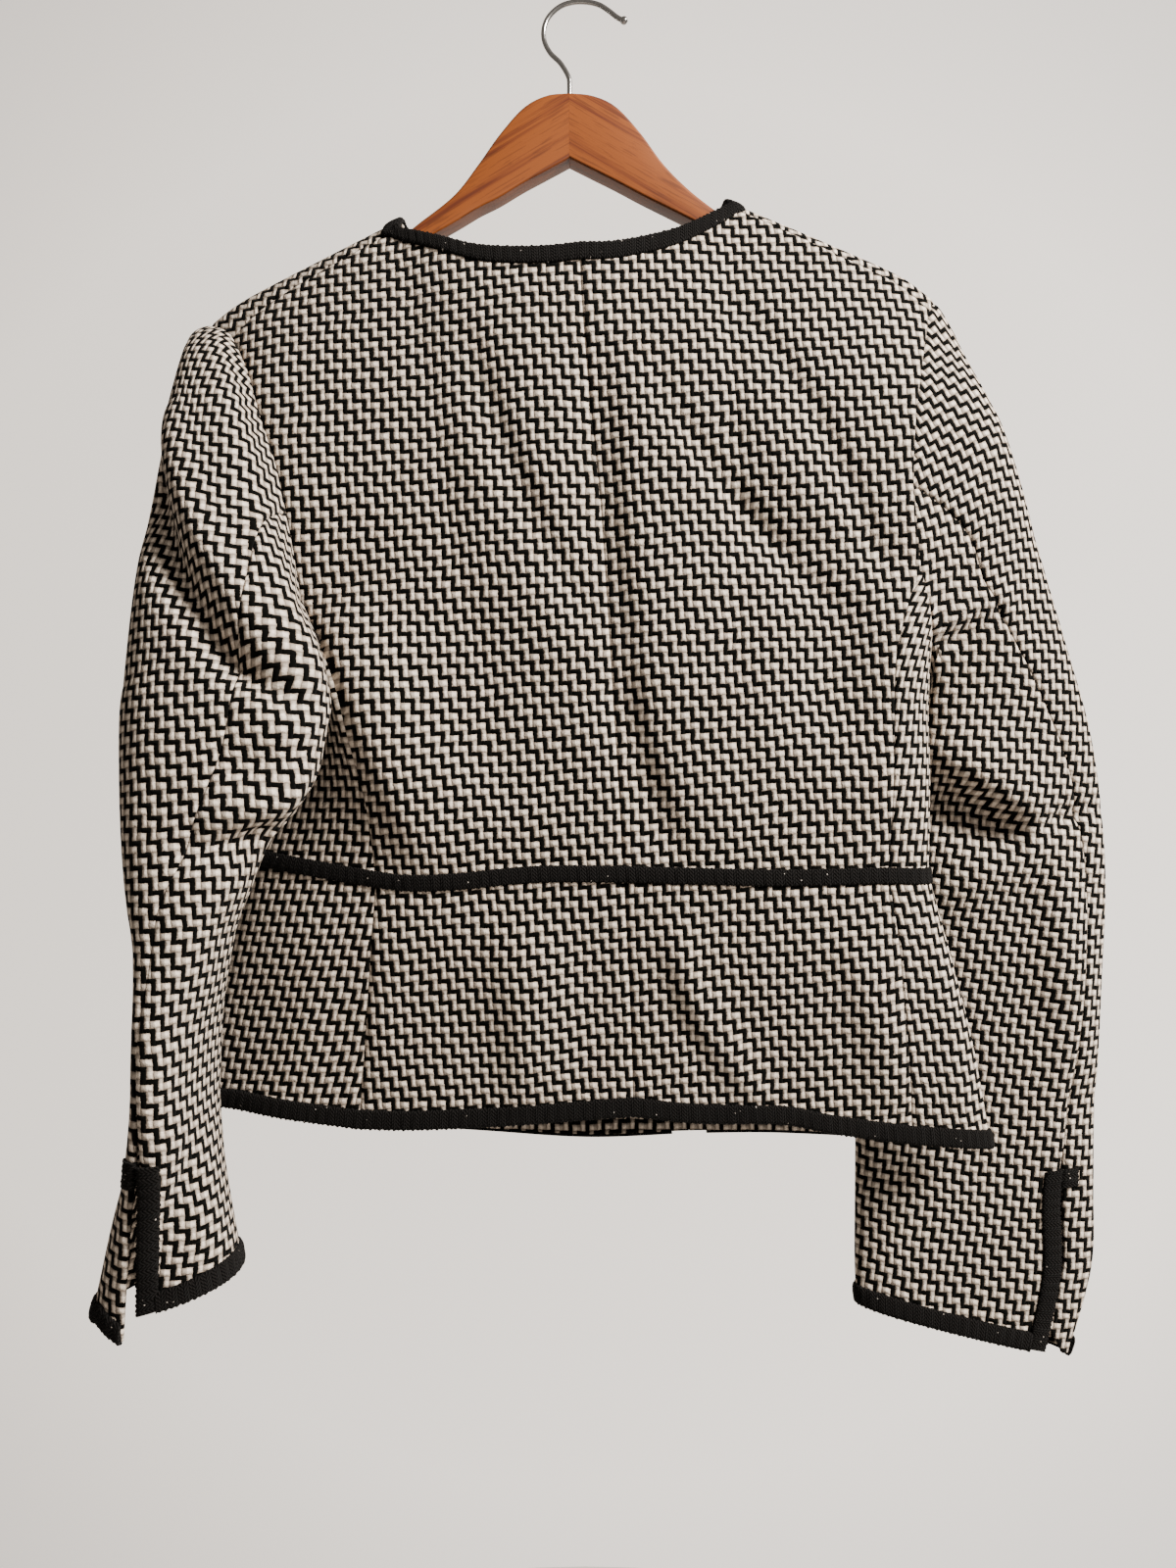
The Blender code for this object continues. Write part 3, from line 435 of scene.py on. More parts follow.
def clear_body(points):
    """Keeps the left sleeve behind the body's side, where the two lie against each other."""
    z = [r[0] for r in BODY_EDGE_L][::-1]
    x = [r[1] for r in BODY_EDGE_L][::-1]
    limit = np.interp(points[:, 2], z, x)
    ceiling = SLEEVE_FRONT_Y + np.maximum(0, limit - points[:, 0]) * 1.7
    ceiling += np.maximum(0, points[:, 2] + 384) * 1.5
    out = points.copy()
    over = out[:, 1] - ceiling
    out[:, 1] = np.where(over > -6, ceiling - 6 * np.exp(-(np.maximum(over, -6) + 6) / 6),
                         out[:, 1])
    return out


def armhole_loop(side, k):
    """Points round the armhole at facet places k: the back, under the arm, then the front."""
    place = np.where(k < 0, -k, ROUND_N - k)
    share = np.interp(place, range(ARM_N + 1), ARM_FRONT)
    order = np.argsort(share)
    front = np.zeros((len(k), 3))
    front[order] = spline(CURVES["armhole_front_" + side[0]], share[order])
    back = spline(CURVES["armhole_back_" + side[0]], np.clip(k / ARM_N, 0, 1))
    under = spline(CURVES["under_" + side[0]], np.clip((k - ARM_N) / UNDER_N, 0, 1))
    out = front.copy()
    for mask, line in (((k >= 0) & (k <= ARM_N), back),
                       ((k > ARM_N) & (k < ARM_N + UNDER_N), under)):
        out[mask] = line[mask]
    return out


def sleeve(side, table):
    """Upper and under sleeve as grids, their rows from the cuff up."""
    per = 6
    last = len(table) - 1
    rows = table_rows(table, shares(LONG["sleeve"], SLEEVE_N) * last)
    close = np.array([0.07, 0.17])     # close points beside the seams, in facets
    parts = []
    for start, stop, upper in ((-SEAM_K, SEAM_K, True), (SEAM_K, ROUND_N - SEAM_K, False)):
        k = np.linspace(start, stop, (stop - start) * per + 1)
        k = np.concatenate([[start], start + close, k[2:-2], stop - close[::-1], [stop]])
        base = armhole_loop(side, k)
        grid = []
        for row in rows:
            at = row["at"]
            vent = min(1.0, max(0.0, at - (last - VENT_ROWS)) / VENT_RAMP)
            split = VENT_OPEN[side] * math.sin(vent * math.pi / 2)
            ends = ((-row["front"], row["back"] - split) if upper
                    else (row["back"] + split, 360 - row["front"]))
            p = section(row, np.radians(np.interp(k, [start, stop], ends)))
            if not grid:
                first = p
            # the sleeve head passes smoothly from the armhole's shape to its own
            t = min(1.0, at / HEAD_ROWS)
            p = p + (1 - t) ** 2 * (1 + 2 * t) * (base - first)
            if side == "left" and at > 0:
                p = p + (clear_body(p) - p) * min(1.0, at / 0.5)
            if upper:
                low = min(1.0, max(0.0, (at - last) / TUCK_ROWS + 1))
                tuck = CUFF_TUCK[side] * low * np.clip((k - 3.5) / 1.5, 0, 1)
                p = p + np.outer(tuck, (0, 0, 1))
            grid.append(p)
        parts.append(np.array(grid)[::-1])
    return parts


# ---- surface helpers ---------------------------------------------------------------------
def grid_normals(grid):
    du = np.gradient(grid, axis=1)
    dv = np.gradient(grid, axis=0)
    n = np.cross(du, dv)
    return n / np.maximum(np.linalg.norm(n, axis=2)[..., None], 1e-9)


def shared_normals(sheets):
    """Average the normals where the seam points of neighbouring sheets coincide."""
    names = list(sheets)
    pts = np.vstack([sheets[n].reshape(-1, 3) for n in names])
    nor = np.vstack([grid_normals(sheets[n]).reshape(-1, 3) for n in names])
    key = np.round(pts * 20).astype(np.int64)
    _, inverse = np.unique(key, axis=0, return_inverse=True)
    inverse = inverse.ravel()
    total = np.zeros((inverse.max() + 1, 3))
    np.add.at(total, inverse, nor)
    nor = total[inverse]
    nor /= np.maximum(np.linalg.norm(nor, axis=1)[:, None], 1e-9)
    out, at = {}, 0
    for n in names:
        size = sheets[n].shape[0] * sheets[n].shape[1]
        out[n] = nor[at:at + size].reshape(sheets[n].shape)
        at += size
    return out


def crease(points, normals, table, facing=-1):
    """Height added by each crease, on the faces that look towards facing along Y."""
    p = points.reshape(-1, 3)
    n = normals.reshape(-1, 3)
    look = np.clip(n[:, 1] * facing * 2.5, 0, 1)
    total = np.zeros(len(p))
    for row in table:
        r = dict(zip(CREASE_COLUMNS, row))
        a = np.array((r["x0"], r["z0"]), dtype=float)
        b = np.array((r["x1"], r["z1"]), dtype=float)
        along = (b - a) / np.linalg.norm(b - a)
        cross = np.array((-along[1], along[0]))
        d = p[:, [0, 2]] - a
        t = d @ along / np.linalg.norm(b - a)
        side = d @ cross - r["bow"] * 4 * t * (1 - t)
        wide = np.where(side > 0, r["wide_a"], r["wide_b"])
        end = np.clip(t * (1 - t) * 4, 0, 1) ** 0.8
        end[(t < 0) | (t > 1)] = 0
        total += r["high"] * end * np.exp(-(side / wide) ** 2) * look
    return total.reshape(points.shape[:2])


def seam_roll(grid, sides):
    """How far each point turns in beside the sheet's seams."""
    depth = np.zeros(grid.shape[:2])
    reach, turn = zip(*ROLL)
    for name in sides:
        # the grid and its depths, turned so that the seam is their first row
        g, d = grid, depth
        if name in ("left", "right"):
            g, d = g.transpose(1, 0, 2), d.T
        if name in ("right", "top"):
            g, d = g[::-1], d[::-1]
        g, d = g[:ROLL_POINTS], d[:ROLL_POINTS]
        far = np.cumsum(np.linalg.norm(np.diff(g, axis=0), axis=2), axis=0)
        far = np.vstack([np.zeros((1, far.shape[1])), far])
        d[:] = np.maximum(d, np.interp(far, reach, turn))
    return depth


def quads_of(rows, cols):
    r, c = np.meshgrid(np.arange(rows - 1), np.arange(cols - 1), indexing="ij")
    a = (r * cols + c).ravel()
    return np.stack([a, a + 1, a + cols + 1, a + cols], axis=1)


def new_piece(name, points, faces, uv, mat, nodes):
    """A visual piece in place of its solids; points and weave coordinates in millimetres."""
    mesh = bpy.data.meshes.new(name)
    mesh.from_pydata((points * MM).tolist(), [], faces)
    layer = mesh.uv_layers.new(name="weave")
    index = np.zeros(len(mesh.loops), dtype=np.int64)
    mesh.loops.foreach_get("vertex_index", index)
    layer.data.foreach_set("uv", (uv * MM)[index].ravel())
    mesh.materials.append(mat)
    mesh.shade_smooth()
    obj = bpy.data.objects.new(name, mesh)
    bpy.context.scene.collection.objects.link(obj)
    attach(obj, "root")
    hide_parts(*nodes)
    return obj


def shell(name, outer, inner, uv, mat, node_name, offset=(0.0, 0.0)):
    """A thin closed shell between an outer and an inner grid."""
    rows, cols = outer.shape[:2]
    n = rows * cols
    q = quads_of(rows, cols).tolist()
    faces = [tuple(x) for x in q] + [tuple(n + i for i in x[::-1]) for x in q]
    rim = (list(range(cols)) + [r * cols + cols - 1 for r in range(1, rows)]
           + [(rows - 1) * cols + c for c in range(cols - 2, -1, -1)]
           + [r * cols for r in range(rows - 2, 0, -1)])
    for a, b in zip(rim, rim[1:] + rim[:1]):
        faces.append((b, a, n + a, n + b))
    points = np.vstack([outer.reshape(-1, 3), inner.reshape(-1, 3)])
    flat = np.vstack([uv.reshape(-1, 2)] * 2) + np.array(offset)
    return new_piece(name, points, faces, flat, mat, [node_name])


def loft(name, rings, uvs, mat, nodes):
    """A closed tube through rings of points, with square cut ends."""
    count, around = rings.shape[:2]
    faces = []
    for r in range(count - 1):
        for k in range(around):
            a, b = r * around + k, r * around + (k + 1) % around
            faces.append((a, b, b + around, a + around))
    faces.append(tuple(range(around))[::-1])
    faces.append(tuple((count - 1) * around + k for k in range(around)))
    obj = new_piece(name, rings.reshape(-1, 3), faces, uvs.reshape(-1, 2), mat, nodes)
    mesh = obj.data
    bm = bmesh.new()
    bm.from_mesh(mesh)
    bmesh.ops.recalc_face_normals(bm, faces=bm.faces[:])
    bm.to_mesh(mesh)
    bm.free()
    # the light breaks at the edges of the cut ends
    square = {key for face in mesh.polygons if face.loop_total > 4 for key in face.edge_keys}
    for edge in mesh.edges:
        edge.use_edge_sharp = edge.key in square
    return obj


# ---- materials ---------------------------------------------------------------------------
def node(tree, kind, *inputs, out=0, **settings):
    """Adds a node with its settings and gives one of its outputs. Inputs are values or sockets,
    in order or in one dictionary by name or number."""
    made = tree.nodes.new("ShaderNode" + kind)
    for key, value in settings.items():
        setattr(made, key, value)
    named = inputs[0] if isinstance(inputs[0] if inputs else 0, dict) else dict(enumerate(inputs))
    for key, value in named.items():
        if isinstance(value, bpy.types.NodeSocket):
            tree.links.new(value, made.inputs[key])
        else:
            made.inputs[key].default_value = value
    return made.outputs[out]


def new_material(name, values):
    """A material with its plain values set; gives its tree and its shader too."""
    mat = bpy.data.materials.new(name)
    mat.use_nodes = True
    shader = mat.node_tree.nodes["Principled BSDF"]
    for key, value in values.items():
        shader.inputs[key].default_value = value
    return mat, mat.node_tree, shader


def tweed():
    """Wool tweed, woven two over two, one black and one ivory yarn each way: matt and fuzzy,
    with thick round yarns 2.6 mm apart across and 3.1 mm apart down."""
    mat, t, shader = new_material("wool_tweed", {"Roughness": 0.92, "Specular IOR Level": 0.02,
                                                 "Sheen Weight": 0.01, "Sheen Roughness": 0.6})
    weave = node(t, "UVMap", uv_map="weave")
    # yarns wobble finely, and drift out of line over a few centimetres
    at = weave
    for scale, detail, rough, reach in ((420.0, 2.0, 0.6, 0.0011), (34.0, 1.0, 0.5, 0.0032)):
        drift = node(t, "TexNoise", {"Vector": weave, "Scale": scale, "Detail": detail,
                                     "Roughness": rough}, out="Color")
        drift = node(t, "VectorMath", drift, (0.5, 0.5, 0.5), operation="SUBTRACT")
        drift = node(t, "VectorMath", {0: drift, "Scale": reach}, operation="SCALE")
        at = node(t, "VectorMath", at, drift, operation="ADD")
    # of each pair of yarns the black one, which comes first, is the thinner
    places = []
    for axis, pair, thin in (("X", 0.0052, 0.47), ("Y", 0.0062, 0.40)):
        place = node(t, "SeparateXYZ", at, out=axis)
        place = node(t, "Math", place, pair, operation="DIVIDE")
        part = node(t, "Math", place, operation="FRACT")
        whole = node(t, "Math", place, operation="FLOOR")
        black = node(t, "Math", part, thin, operation="DIVIDE")
        black = node(t, "Math", black, 1.0, operation="MINIMUM")
        light = node(t, "Math", part, thin, operation="SUBTRACT")
        light = node(t, "Math", light, 1 - thin, operation="DIVIDE")
        light = node(t, "Math", light, 0.0, operation="MAXIMUM")
        both = node(t, "Math", black, light, operation="ADD")
        places.append(node(t, "Math", whole, 2.0, both, operation="MULTIPLY_ADD"))
    # which yarn it is each way, how far across it, and whether it is a black one
    (i, fu, dark_i), (j, fv, dark_j) = [
        (node(t, "Math", k, operation="FLOOR"), node(t, "Math", k, operation="FRACT"),
         node(t, "Math", node(t, "Math", k, 2.0, operation="FLOORED_MODULO"), 1.0,
              operation="LESS_THAN")) for k in places]
    order = node(t, "Math", i, j, operation="ADD")
    order = node(t, "Math", order, 1.5, operation="ADD")
    order = node(t, "Math", order, 4.0, operation="FLOORED_MODULO")
    warp_up = node(t, "Math", order, 2.0, operation="LESS_THAN")
    step = node(t, "Math", order, operation="FLOOR")
    dark = node(t, "Mix", {0: warp_up, 2: dark_j, 3: dark_i})
    below = node(t, "Mix", {0: warp_up, 2: dark_i, 3: dark_j})
    # a float passes over two yarns; it is highest at its middle
    heights = []
    for across, along, start in ((fu, fv, 0.0), (fv, fu, 2.0)):
        arch, curve = step, across
        for how, value in (("ADD", along), ("SUBTRACT", start), ("MULTIPLY", math.pi / 2),
                           ("SINE", 0.0), ("ABSOLUTE", 0.0), ("POWER", 0.5)):
            arch = node(t, "Math", arch, value, operation=how)
        for how, value in (("MULTIPLY", math.pi), ("SINE", 0.0), ("POWER", 0.8)):
            curve = node(t, "Math", curve, value, operation=how)
        heights.append(node(t, "Math", curve, arch, operation="MULTIPLY"))
    high = node(t, "Mix", {0: warp_up, 2: heights[1], 3: heights[0]})
    fuzz = node(t, "TexNoise", {"Vector": weave, "Scale": 1500.0, "Detail": 3.0,
                                "Roughness": 0.7})
    shade = node(t, "TexNoise", {"Vector": weave, "Scale": 60.0, "Detail": 2.0})
    grey = node(t, "Math", fuzz, 2.0, operation="POWER")
    grey = node(t, "Math", grey, 1.5, operation="MULTIPLY")
    # painted shade: the ivory is coloured darker in the gaps between yarns and down each yarn's
    # rounded sides, where the float sinks
    low = node(t, "Math", 1.0, high, operation="SUBTRACT")
    low = node(t, "Math", low, 1.15, operation="POWER")
    low = node(t, "Math", low, 0.9, operation="MULTIPLY")
    below = node(t, "Math", below, 0.5, operation="MULTIPLY")
    # ivory, greyed by its fuzz, with painted shade (a beige-brown) in the gaps between yarns,
    # darker where it crosses a black yarn
    yarn = node(t, "Mix", {0: shade, 6: hexcolour("DFCFBE"), 7: hexcolour("FFF3E4")}, out=2,
                data_type="RGBA")
    for part, colour in ((grey, "85786B"), (low, "6F6256"), (below, "3A322B"), (dark, "030302")):
        yarn = node(t, "Mix", {0: part, 6: yarn, 7: hexcolour(colour)}, out=2, data_type="RGBA")
    t.links.new(yarn, shader.inputs["Base Color"])
    rough = node(t, "Math", fuzz, 0.35, high, operation="MULTIPLY_ADD")
    bump = node(t, "Bump", {"Strength": 0.9, "Distance": 0.0011, "Height": rough})
    t.links.new(bump, shader.inputs["Normal"])
    return mat


def black_braid():
    """Flat woven braid of black yarn: a fine chevron of ridges with a painted highlight on their
    tops, matt, with a few pale fibres.
    """
    mat, t, shader = new_material("black_woven_braid", {
        "Roughness": 0.8, "Specular IOR Level": 0.04, "Sheen Weight": 0.01})
    weave = node(t, "UVMap", uv_map="weave")
    along, across = [node(t, "SeparateXYZ", weave, out=k) for k in ("X", "Y")]
    # ridges 2 mm apart that zigzag across the braid, with a full zigzag every 5.5 mm
    ridge = node(t, "Math", along, 0.00275, operation="PINGPONG")
    ridge = node(t, "Math", ridge, 1.1, across, operation="MULTIPLY_ADD")
    for how, value in (("MULTIPLY", math.pi / 0.0021), ("SINE", 0.0), ("ABSOLUTE", 0.0),
                       ("POWER", 0.7)):
        ridge = node(t, "Math", ridge, value, operation=how)
    cross = along
    for how, value in (("MULTIPLY", math.pi / 0.00138), ("SINE", 0.0), ("ABSOLUTE", 0.0),
                       ("MULTIPLY", 0.45), ("ADD", 0.55)):
        cross = node(t, "Math", cross, value, operation=how)
    high = node(t, "Math", ridge, cross, operation="MULTIPLY")
    fuzz = node(t, "TexNoise", {"Vector": weave, "Scale": 1800.0, "Detail": 2.0})
    # painted highlight: the ridge tops are coloured lighter than the hollows between them
    painted_ridge_highlight = node(t, "Math", high, 0.8, operation="MULTIPLY")
    colour = node(t, "Mix", {0: painted_ridge_highlight, 6: hexcolour("000000"), 7: hexcolour("181615")}, out=2,
                  data_type="RGBA")
    place = node(t, "TexVoronoi", {"Vector": weave, "Scale": 330.0}, out="Distance")
    chance = node(t, "SeparateColor", place.node.outputs["Color"])
    speck = node(t, "Math", place, 0.13, operation="LESS_THAN")
    chance = node(t, "Math", chance, 0.86, operation="GREATER_THAN")
    speck = node(t, "Math", speck, chance, operation="MULTIPLY")
    speck = node(t, "Math", speck, 0.55, operation="MULTIPLY")
    colour = node(t, "Mix", {0: speck, 6: colour, 7: hexcolour("B8B0A8")}, out=2,
                  data_type="RGBA")
    t.links.new(colour, shader.inputs["Base Color"])
    tall = node(t, "Math", fuzz, 0.3, high, operation="MULTIPLY_ADD")
    bump = node(t, "Bump", {"Strength": 1.0, "Distance": 0.0011, "Height": tall})
    t.links.new(bump, shader.inputs["Normal"])
    return mat


def varnished_wood():
    """Red-brown stained wood under satin varnish, with long dark grain along each arm."""
    mat, t, shader = new_material("varnished_wood", {
        "Roughness": 0.5, "Specular IOR Level": 0.3, "Coat Weight": 0.08, "Coat Roughness": 0.3})
    along = node(t, "UVMap", uv_map="weave")
    stretched = node(t, "Mapping", {"Vector": along, "Scale": (5.0, 170.0, 1.0)})
    grain = node(t, "TexNoise", {"Vector": stretched, "Scale": 1.0, "Detail": 3.0,
                                 "Roughness": 0.6, "Distortion": 0.25})
    fine = node(t, "Mapping", {"Vector": along, "Scale": (40.0, 900.0, 900.0)})
    pores = node(t, "TexNoise", {"Vector": fine, "Scale": 1.0, "Detail": 3.0})
    ramp = node(t, "ValToRGB", grain)
    stops = ramp.node.color_ramp.elements
    for stop, (place, colour) in zip(stops, ((0.36, "4A1D07"), (0.50, "6E370D"))):
        stop.position = place
        stop.color = hexcolour(colour)
    dark = node(t, "Math", pores, 0.58, operation="GREATER_THAN")
    dark = node(t, "Math", dark, 0.4, operation="MULTIPLY")
    colour = node(t, "Mix", {0: dark, 6: ramp, 7: hexcolour("351505")}, out=2, data_type="RGBA")
    t.links.new(colour, shader.inputs["Base Color"])
    bump = node(t, "Bump", {"Strength": 0.25, "Distance": 0.0003, "Height": pores})
    t.links.new(bump, shader.inputs["Normal"])
    return mat


def nickel_wire():
    """Drawn steel wire with nickel plate: a grey mirror, with faint drawing marks."""
    mat, t, shader = new_material("nickel_plated_wire", {"Metallic": 1.0, "Roughness": 0.22})
    place = node(t, "TexCoord", out="Object")
    marks = node(t, "TexNoise", {"Vector": place, "Scale": 900.0, "Detail": 2.0})
    colour = node(t, "Mix", {0: marks, 6: hexcolour("6E6D6C"), 7: hexcolour("A3A2A0")}, out=2,
                  data_type="RGBA")
    t.links.new(colour, shader.inputs["Base Color"])
    bump = node(t, "Bump", {"Strength": 0.15, "Distance": 0.0001, "Height": marks})
    t.links.new(bump, shader.inputs["Normal"])
    return mat


TWEED, BRAID, WOOD, WIRE = tweed(), black_braid(), varnished_wood(), nickel_wire()


# ---- weave coordinates -------------------------------------------------------------------
WEAVE_FROM = (25.0, -527.0)        # x and z at the waist in the centre back
LEAN = 3.0                         # degrees the back's threads lean
SIDE_SHIFT = 3.0                   # the side panels' pattern starts this far over
EVEN_TURNS = 900                   # rounds of evening out; the result no longer moves


def flat_uv(grid, lean, flip):
    """Straight grain on a nearly flat panel; lean is the tilt of its lengthwise threads."""
    a = math.radians(lean)
    x, z = grid[..., 0] - WEAVE_FROM[0], grid[..., 2] - WEAVE_FROM[1]
    u = (x * math.cos(a) + z * math.sin(a)) * flip
    v = x * math.sin(a) - z * math.cos(a)
    return np.stack([u, v], axis=2)


def side_uv(grid, start, flip):
    """Threads measured round a side panel from its back seam."""
    run = np.concatenate([np.zeros((grid.shape[0], 1)), np.cumsum(
        np.linalg.norm(np.diff(grid, axis=1), axis=2), axis=1)], axis=1)
    middle = run[:, -1:] / 2
    v = WEAVE_FROM[1] - grid[..., 2]
    return np.stack([(run - middle) * flip + start, v], axis=2)


def sleeve_uv(grid, side, seam):
    """Threads along the sleeve's grain line, and round the sleeve from its back seam."""
    line = spline(GRAIN[side], np.linspace(0, 1, 400))
    run = length_along(line)
    direction = np.gradient(line, axis=0)
    direction /= np.linalg.norm(direction, axis=1)[:, None]
    g = grid if seam == "left" else grid[:, ::-1]
    p = g[..., [0, 2]].reshape(-1, 2)
    near = np.concatenate([np.argmin(np.linalg.norm(q[:, None] - line[None], axis=2), axis=1)
                           for q in np.array_split(p, 40)])
    d = p - line[near]
    t = direction[near]
    along = (run[near] + np.sum(d * t, axis=1)).reshape(g.shape[:2])
    cross = (d[:, 0] * -t[:, 1] + d[:, 1] * t[:, 0]).reshape(g.shape[:2])
    n = grid_normals(g)
    nearest = np.argmin(g[..., 1], axis=1)
    n = -n * np.sign(np.median(n[np.arange(len(g)), nearest, 1]))
    for _ in range(4):
        n[1:-1] = (n[:-2] + 2 * n[1:-1] + n[2:]) / 4
        n[:, 1:-1] = (n[:, :-2] + 2 * n[:, 1:-1] + n[:, 2:]) / 4
    n /= np.linalg.norm(n, axis=2)[..., None]
    thread = np.stack([t[:, 0], np.zeros(len(t)), t[:, 1]], axis=1).reshape(g.shape)
    over = np.cross(n, thread)
    over /= np.maximum(np.linalg.norm(over, axis=2)[..., None], 1e-6)
    down = np.cross(over, n)
    # the threads lie on the surface: each way's steps are followed, then evened out
    steps = {}
    for key, way in (("u", over), ("v", down)):
        steps[key] = [np.sum(np.diff(g, axis=k) * (w1 + w0) / 2, axis=2) for k, w1, w0 in
                      ((0, way[1:], way[:-1]), (1, way[:, 1:], way[:, :-1]))]
    turn = np.sign(np.median(steps["v"][0])) * -1
    steps["v"] = [k * turn for k in steps["v"]]
    first = cross[0, 0] + np.concatenate([[0], np.cumsum(steps["u"][0][:, 0])])
    u = first[:, None] + np.concatenate([np.zeros((len(g), 1)),
                                         np.cumsum(steps["u"][1], axis=1)], axis=1)
    v = along[:1] + np.concatenate([np.zeros((1, g.shape[1])),
                                    np.cumsum(steps["v"][0], axis=0)], axis=0)
    uv = np.stack([evened(u, *steps["u"]), evened(v, *steps["v"])], axis=2)
    return uv if seam == "left" else uv[:, ::-1]


def evened(value, downward, across):
    """Settles a thread count over a grid so that every small step is as near its own length."""
    count = np.zeros(value.shape)
    count[1:] += 1
    count[:-1] += 1
    count[:, 1:] += 1
    count[:, :-1] += 1
    for _ in range(EVEN_TURNS):
        total = np.zeros(value.shape)
        total[1:] += value[:-1] + downward
        total[:-1] += value[1:] - downward
        total[:, 1:] += value[:, :-1] + across
        total[:, :-1] += value[:, 1:] - across
        value = 0.15 * value + 0.85 * total / count
    return value


# ---- the cloth pieces, and which of their edges are sewn ----------------------------------
SEWN = {
    "back": ("left", "right", "bottom", "top"), "side": ("left", "right", "bottom", "top"),
    "front": ("bottom", "top", "left", "right"), "peplum_back": ("left", "right", "top"),
    "peplum_side": ("left", "right", "top"), "peplum_front": ("left", "right", "top"),
    "sleeve_upper": ("left", "right", "top"), "sleeve_under": ("left", "right", "top"),
}


def make_sheets():
    """Every cloth piece as a grid, its weave coordinates, and the free edges' corners."""
    sheets, free = torso()
    for side, table in (("right", SLEEVE_R), ("left", SLEEVE_L)):
        upper, under = sleeve(side, table)
        sheets["sleeve_upper_" + side] = upper
        sheets["sleeve_under_" + side] = under
    uv = {}
    for name, grid in sheets.items():
        side = name.split("_")[-1]
        if name.startswith("sleeve"):
            seam = "right" if "upper" in name else "left"
            uv[name] = sleeve_uv(grid, side, seam)
        elif name.startswith("side") or name.startswith("peplum_side"):
            uv[name] = side_uv(grid, SIDE_SHIFT, 1 if side == "right" else -1)
        else:
            uv[name] = flat_uv(grid, *((0.0, -1) if "front" in name else (LEAN, 1)))
    # grids run the way that turns each outer face outwards
    for name in list(sheets):
        if name.endswith("left") != name.startswith("sleeve"):
            sheets[name] = sheets[name][:, ::-1]
            uv[name] = uv[name][:, ::-1]
    return sheets, uv, free


def shape_sheets(sheets):
    """The outer face, inner face and normals of every sheet, with creases and turned seams."""
    body = {k: g for k, g in sheets.items() if not k.startswith("sleeve")}
    arms = {k: g for k, g in sheets.items() if k.startswith("sleeve")}
    normals = shared_normals(body)
    normals.update(shared_normals(arms))
    faces = {}
    for name, grid in sheets.items():
        n = normals[name]
        kind = "_".join(name.split("_")[:-1])
        lift = np.zeros(grid.shape[:2])
        if kind in ("back", "side"):
            lift += crease(grid, n, CREASES_BACK)
        elif kind.startswith("peplum"):
            lift += crease(grid, n, CREASES_PEPLUM)
        elif name.startswith("sleeve"):
            lift += crease(grid, n, CREASES_SLEEVE[name.split("_")[-1]])
        lift += crease(grid, n, CREASES_FRONT, 1)
        roll = seam_roll(grid, SEWN[kind])
        smooth = grid + n * (CLOTH / 2 + lift)[..., None]
        outer = smooth - n * roll[..., None]
        inner = grid + n * (lift - CLOTH / 2 - INNER_ROLL * roll)[..., None]
        faces[name] = (outer, inner, smooth, n)
    return faces


def inset(face, edge, distances):
    """Points and normals at distances in from an edge of a sheet, on its outer face."""
    grid, nor = face
    if edge == "top":
        grid, nor = grid[::-1], nor[::-1]
    elif edge == "right":
        grid, nor = grid.transpose(1, 0, 2)[::-1], nor.transpose(1, 0, 2)[::-1]
    elif edge == "left":
        grid, nor = grid.transpose(1, 0, 2), nor.transpose(1, 0, 2)
    deep = min(14, grid.shape[0])
    points, norms = [], []
    for c in range(grid.shape[1]):
        line, ln = grid[:deep, c], nor[:deep, c]
        run = length_along(line)
        row, rn = [], []
        for d in distances:
            if d < 0:
                step = (line[2] - line[0]) / np.linalg.norm(line[2] - line[0])
                row.append(line[0] + step * d)
                rn.append(ln[0])
            else:
                row.append([np.interp(d, run, line[:, k]) for k in range(3)])
                rn.append([np.interp(d, run, ln[:, k]) for k in range(3)])
        points.append(row)
        norms.append(rn)
    return np.array(points), np.array(norms)


def resample(points, norms, step, start=0.0, end=0.0):
    """Even steps along a strip, cut short by start and end."""
    middle = points[:, points.shape[1] // 2]
    run = length_along(middle)
    count = max(3, int((run[-1] - start - end) / step))
    want = np.linspace(start, run[-1] - end, count)
    shape = (count,) + points.shape[1:]
    p, n = np.zeros(shape), np.zeros(shape)
    for a in range(points.shape[1]):
        for b in range(3):
            p[:, a, b] = np.interp(want, run, points[:, a, b])
            n[:, a, b] = np.interp(want, run, norms[:, a, b])
    n /= np.maximum(np.linalg.norm(n, axis=2)[..., None], 1e-9)
    return p, n, want - start


# ---- the braid ---------------------------------------------------------------------------
# its section: distance in from the cloth's edge, and height above the cloth
EDGE_SECTION = ((-1.3, -2.2), (-1.9, -0.9), (-1.6, 0.6), (-0.6, 1.45), (1.6, 1.75),
                (4.4, 1.85), (7.2, 1.75), (9.2, 1.35), (10.0, 0.4), (9.9, 0.02), (4.0, 0.02),
                (0.2, 0.02))
MITRE = 10.2           # a braid stops this far from the corner where another crosses it
FLAT_SECTION = ((-4.7, 0.02), (-4.8, 0.45), (-4.0, 1.3), (-2.0, 1.65), (0.0, 1.75),
                (2.0, 1.65), (4.0, 1.3), (4.8, 0.45), (4.7, 0.02), (0.0, 0.02))


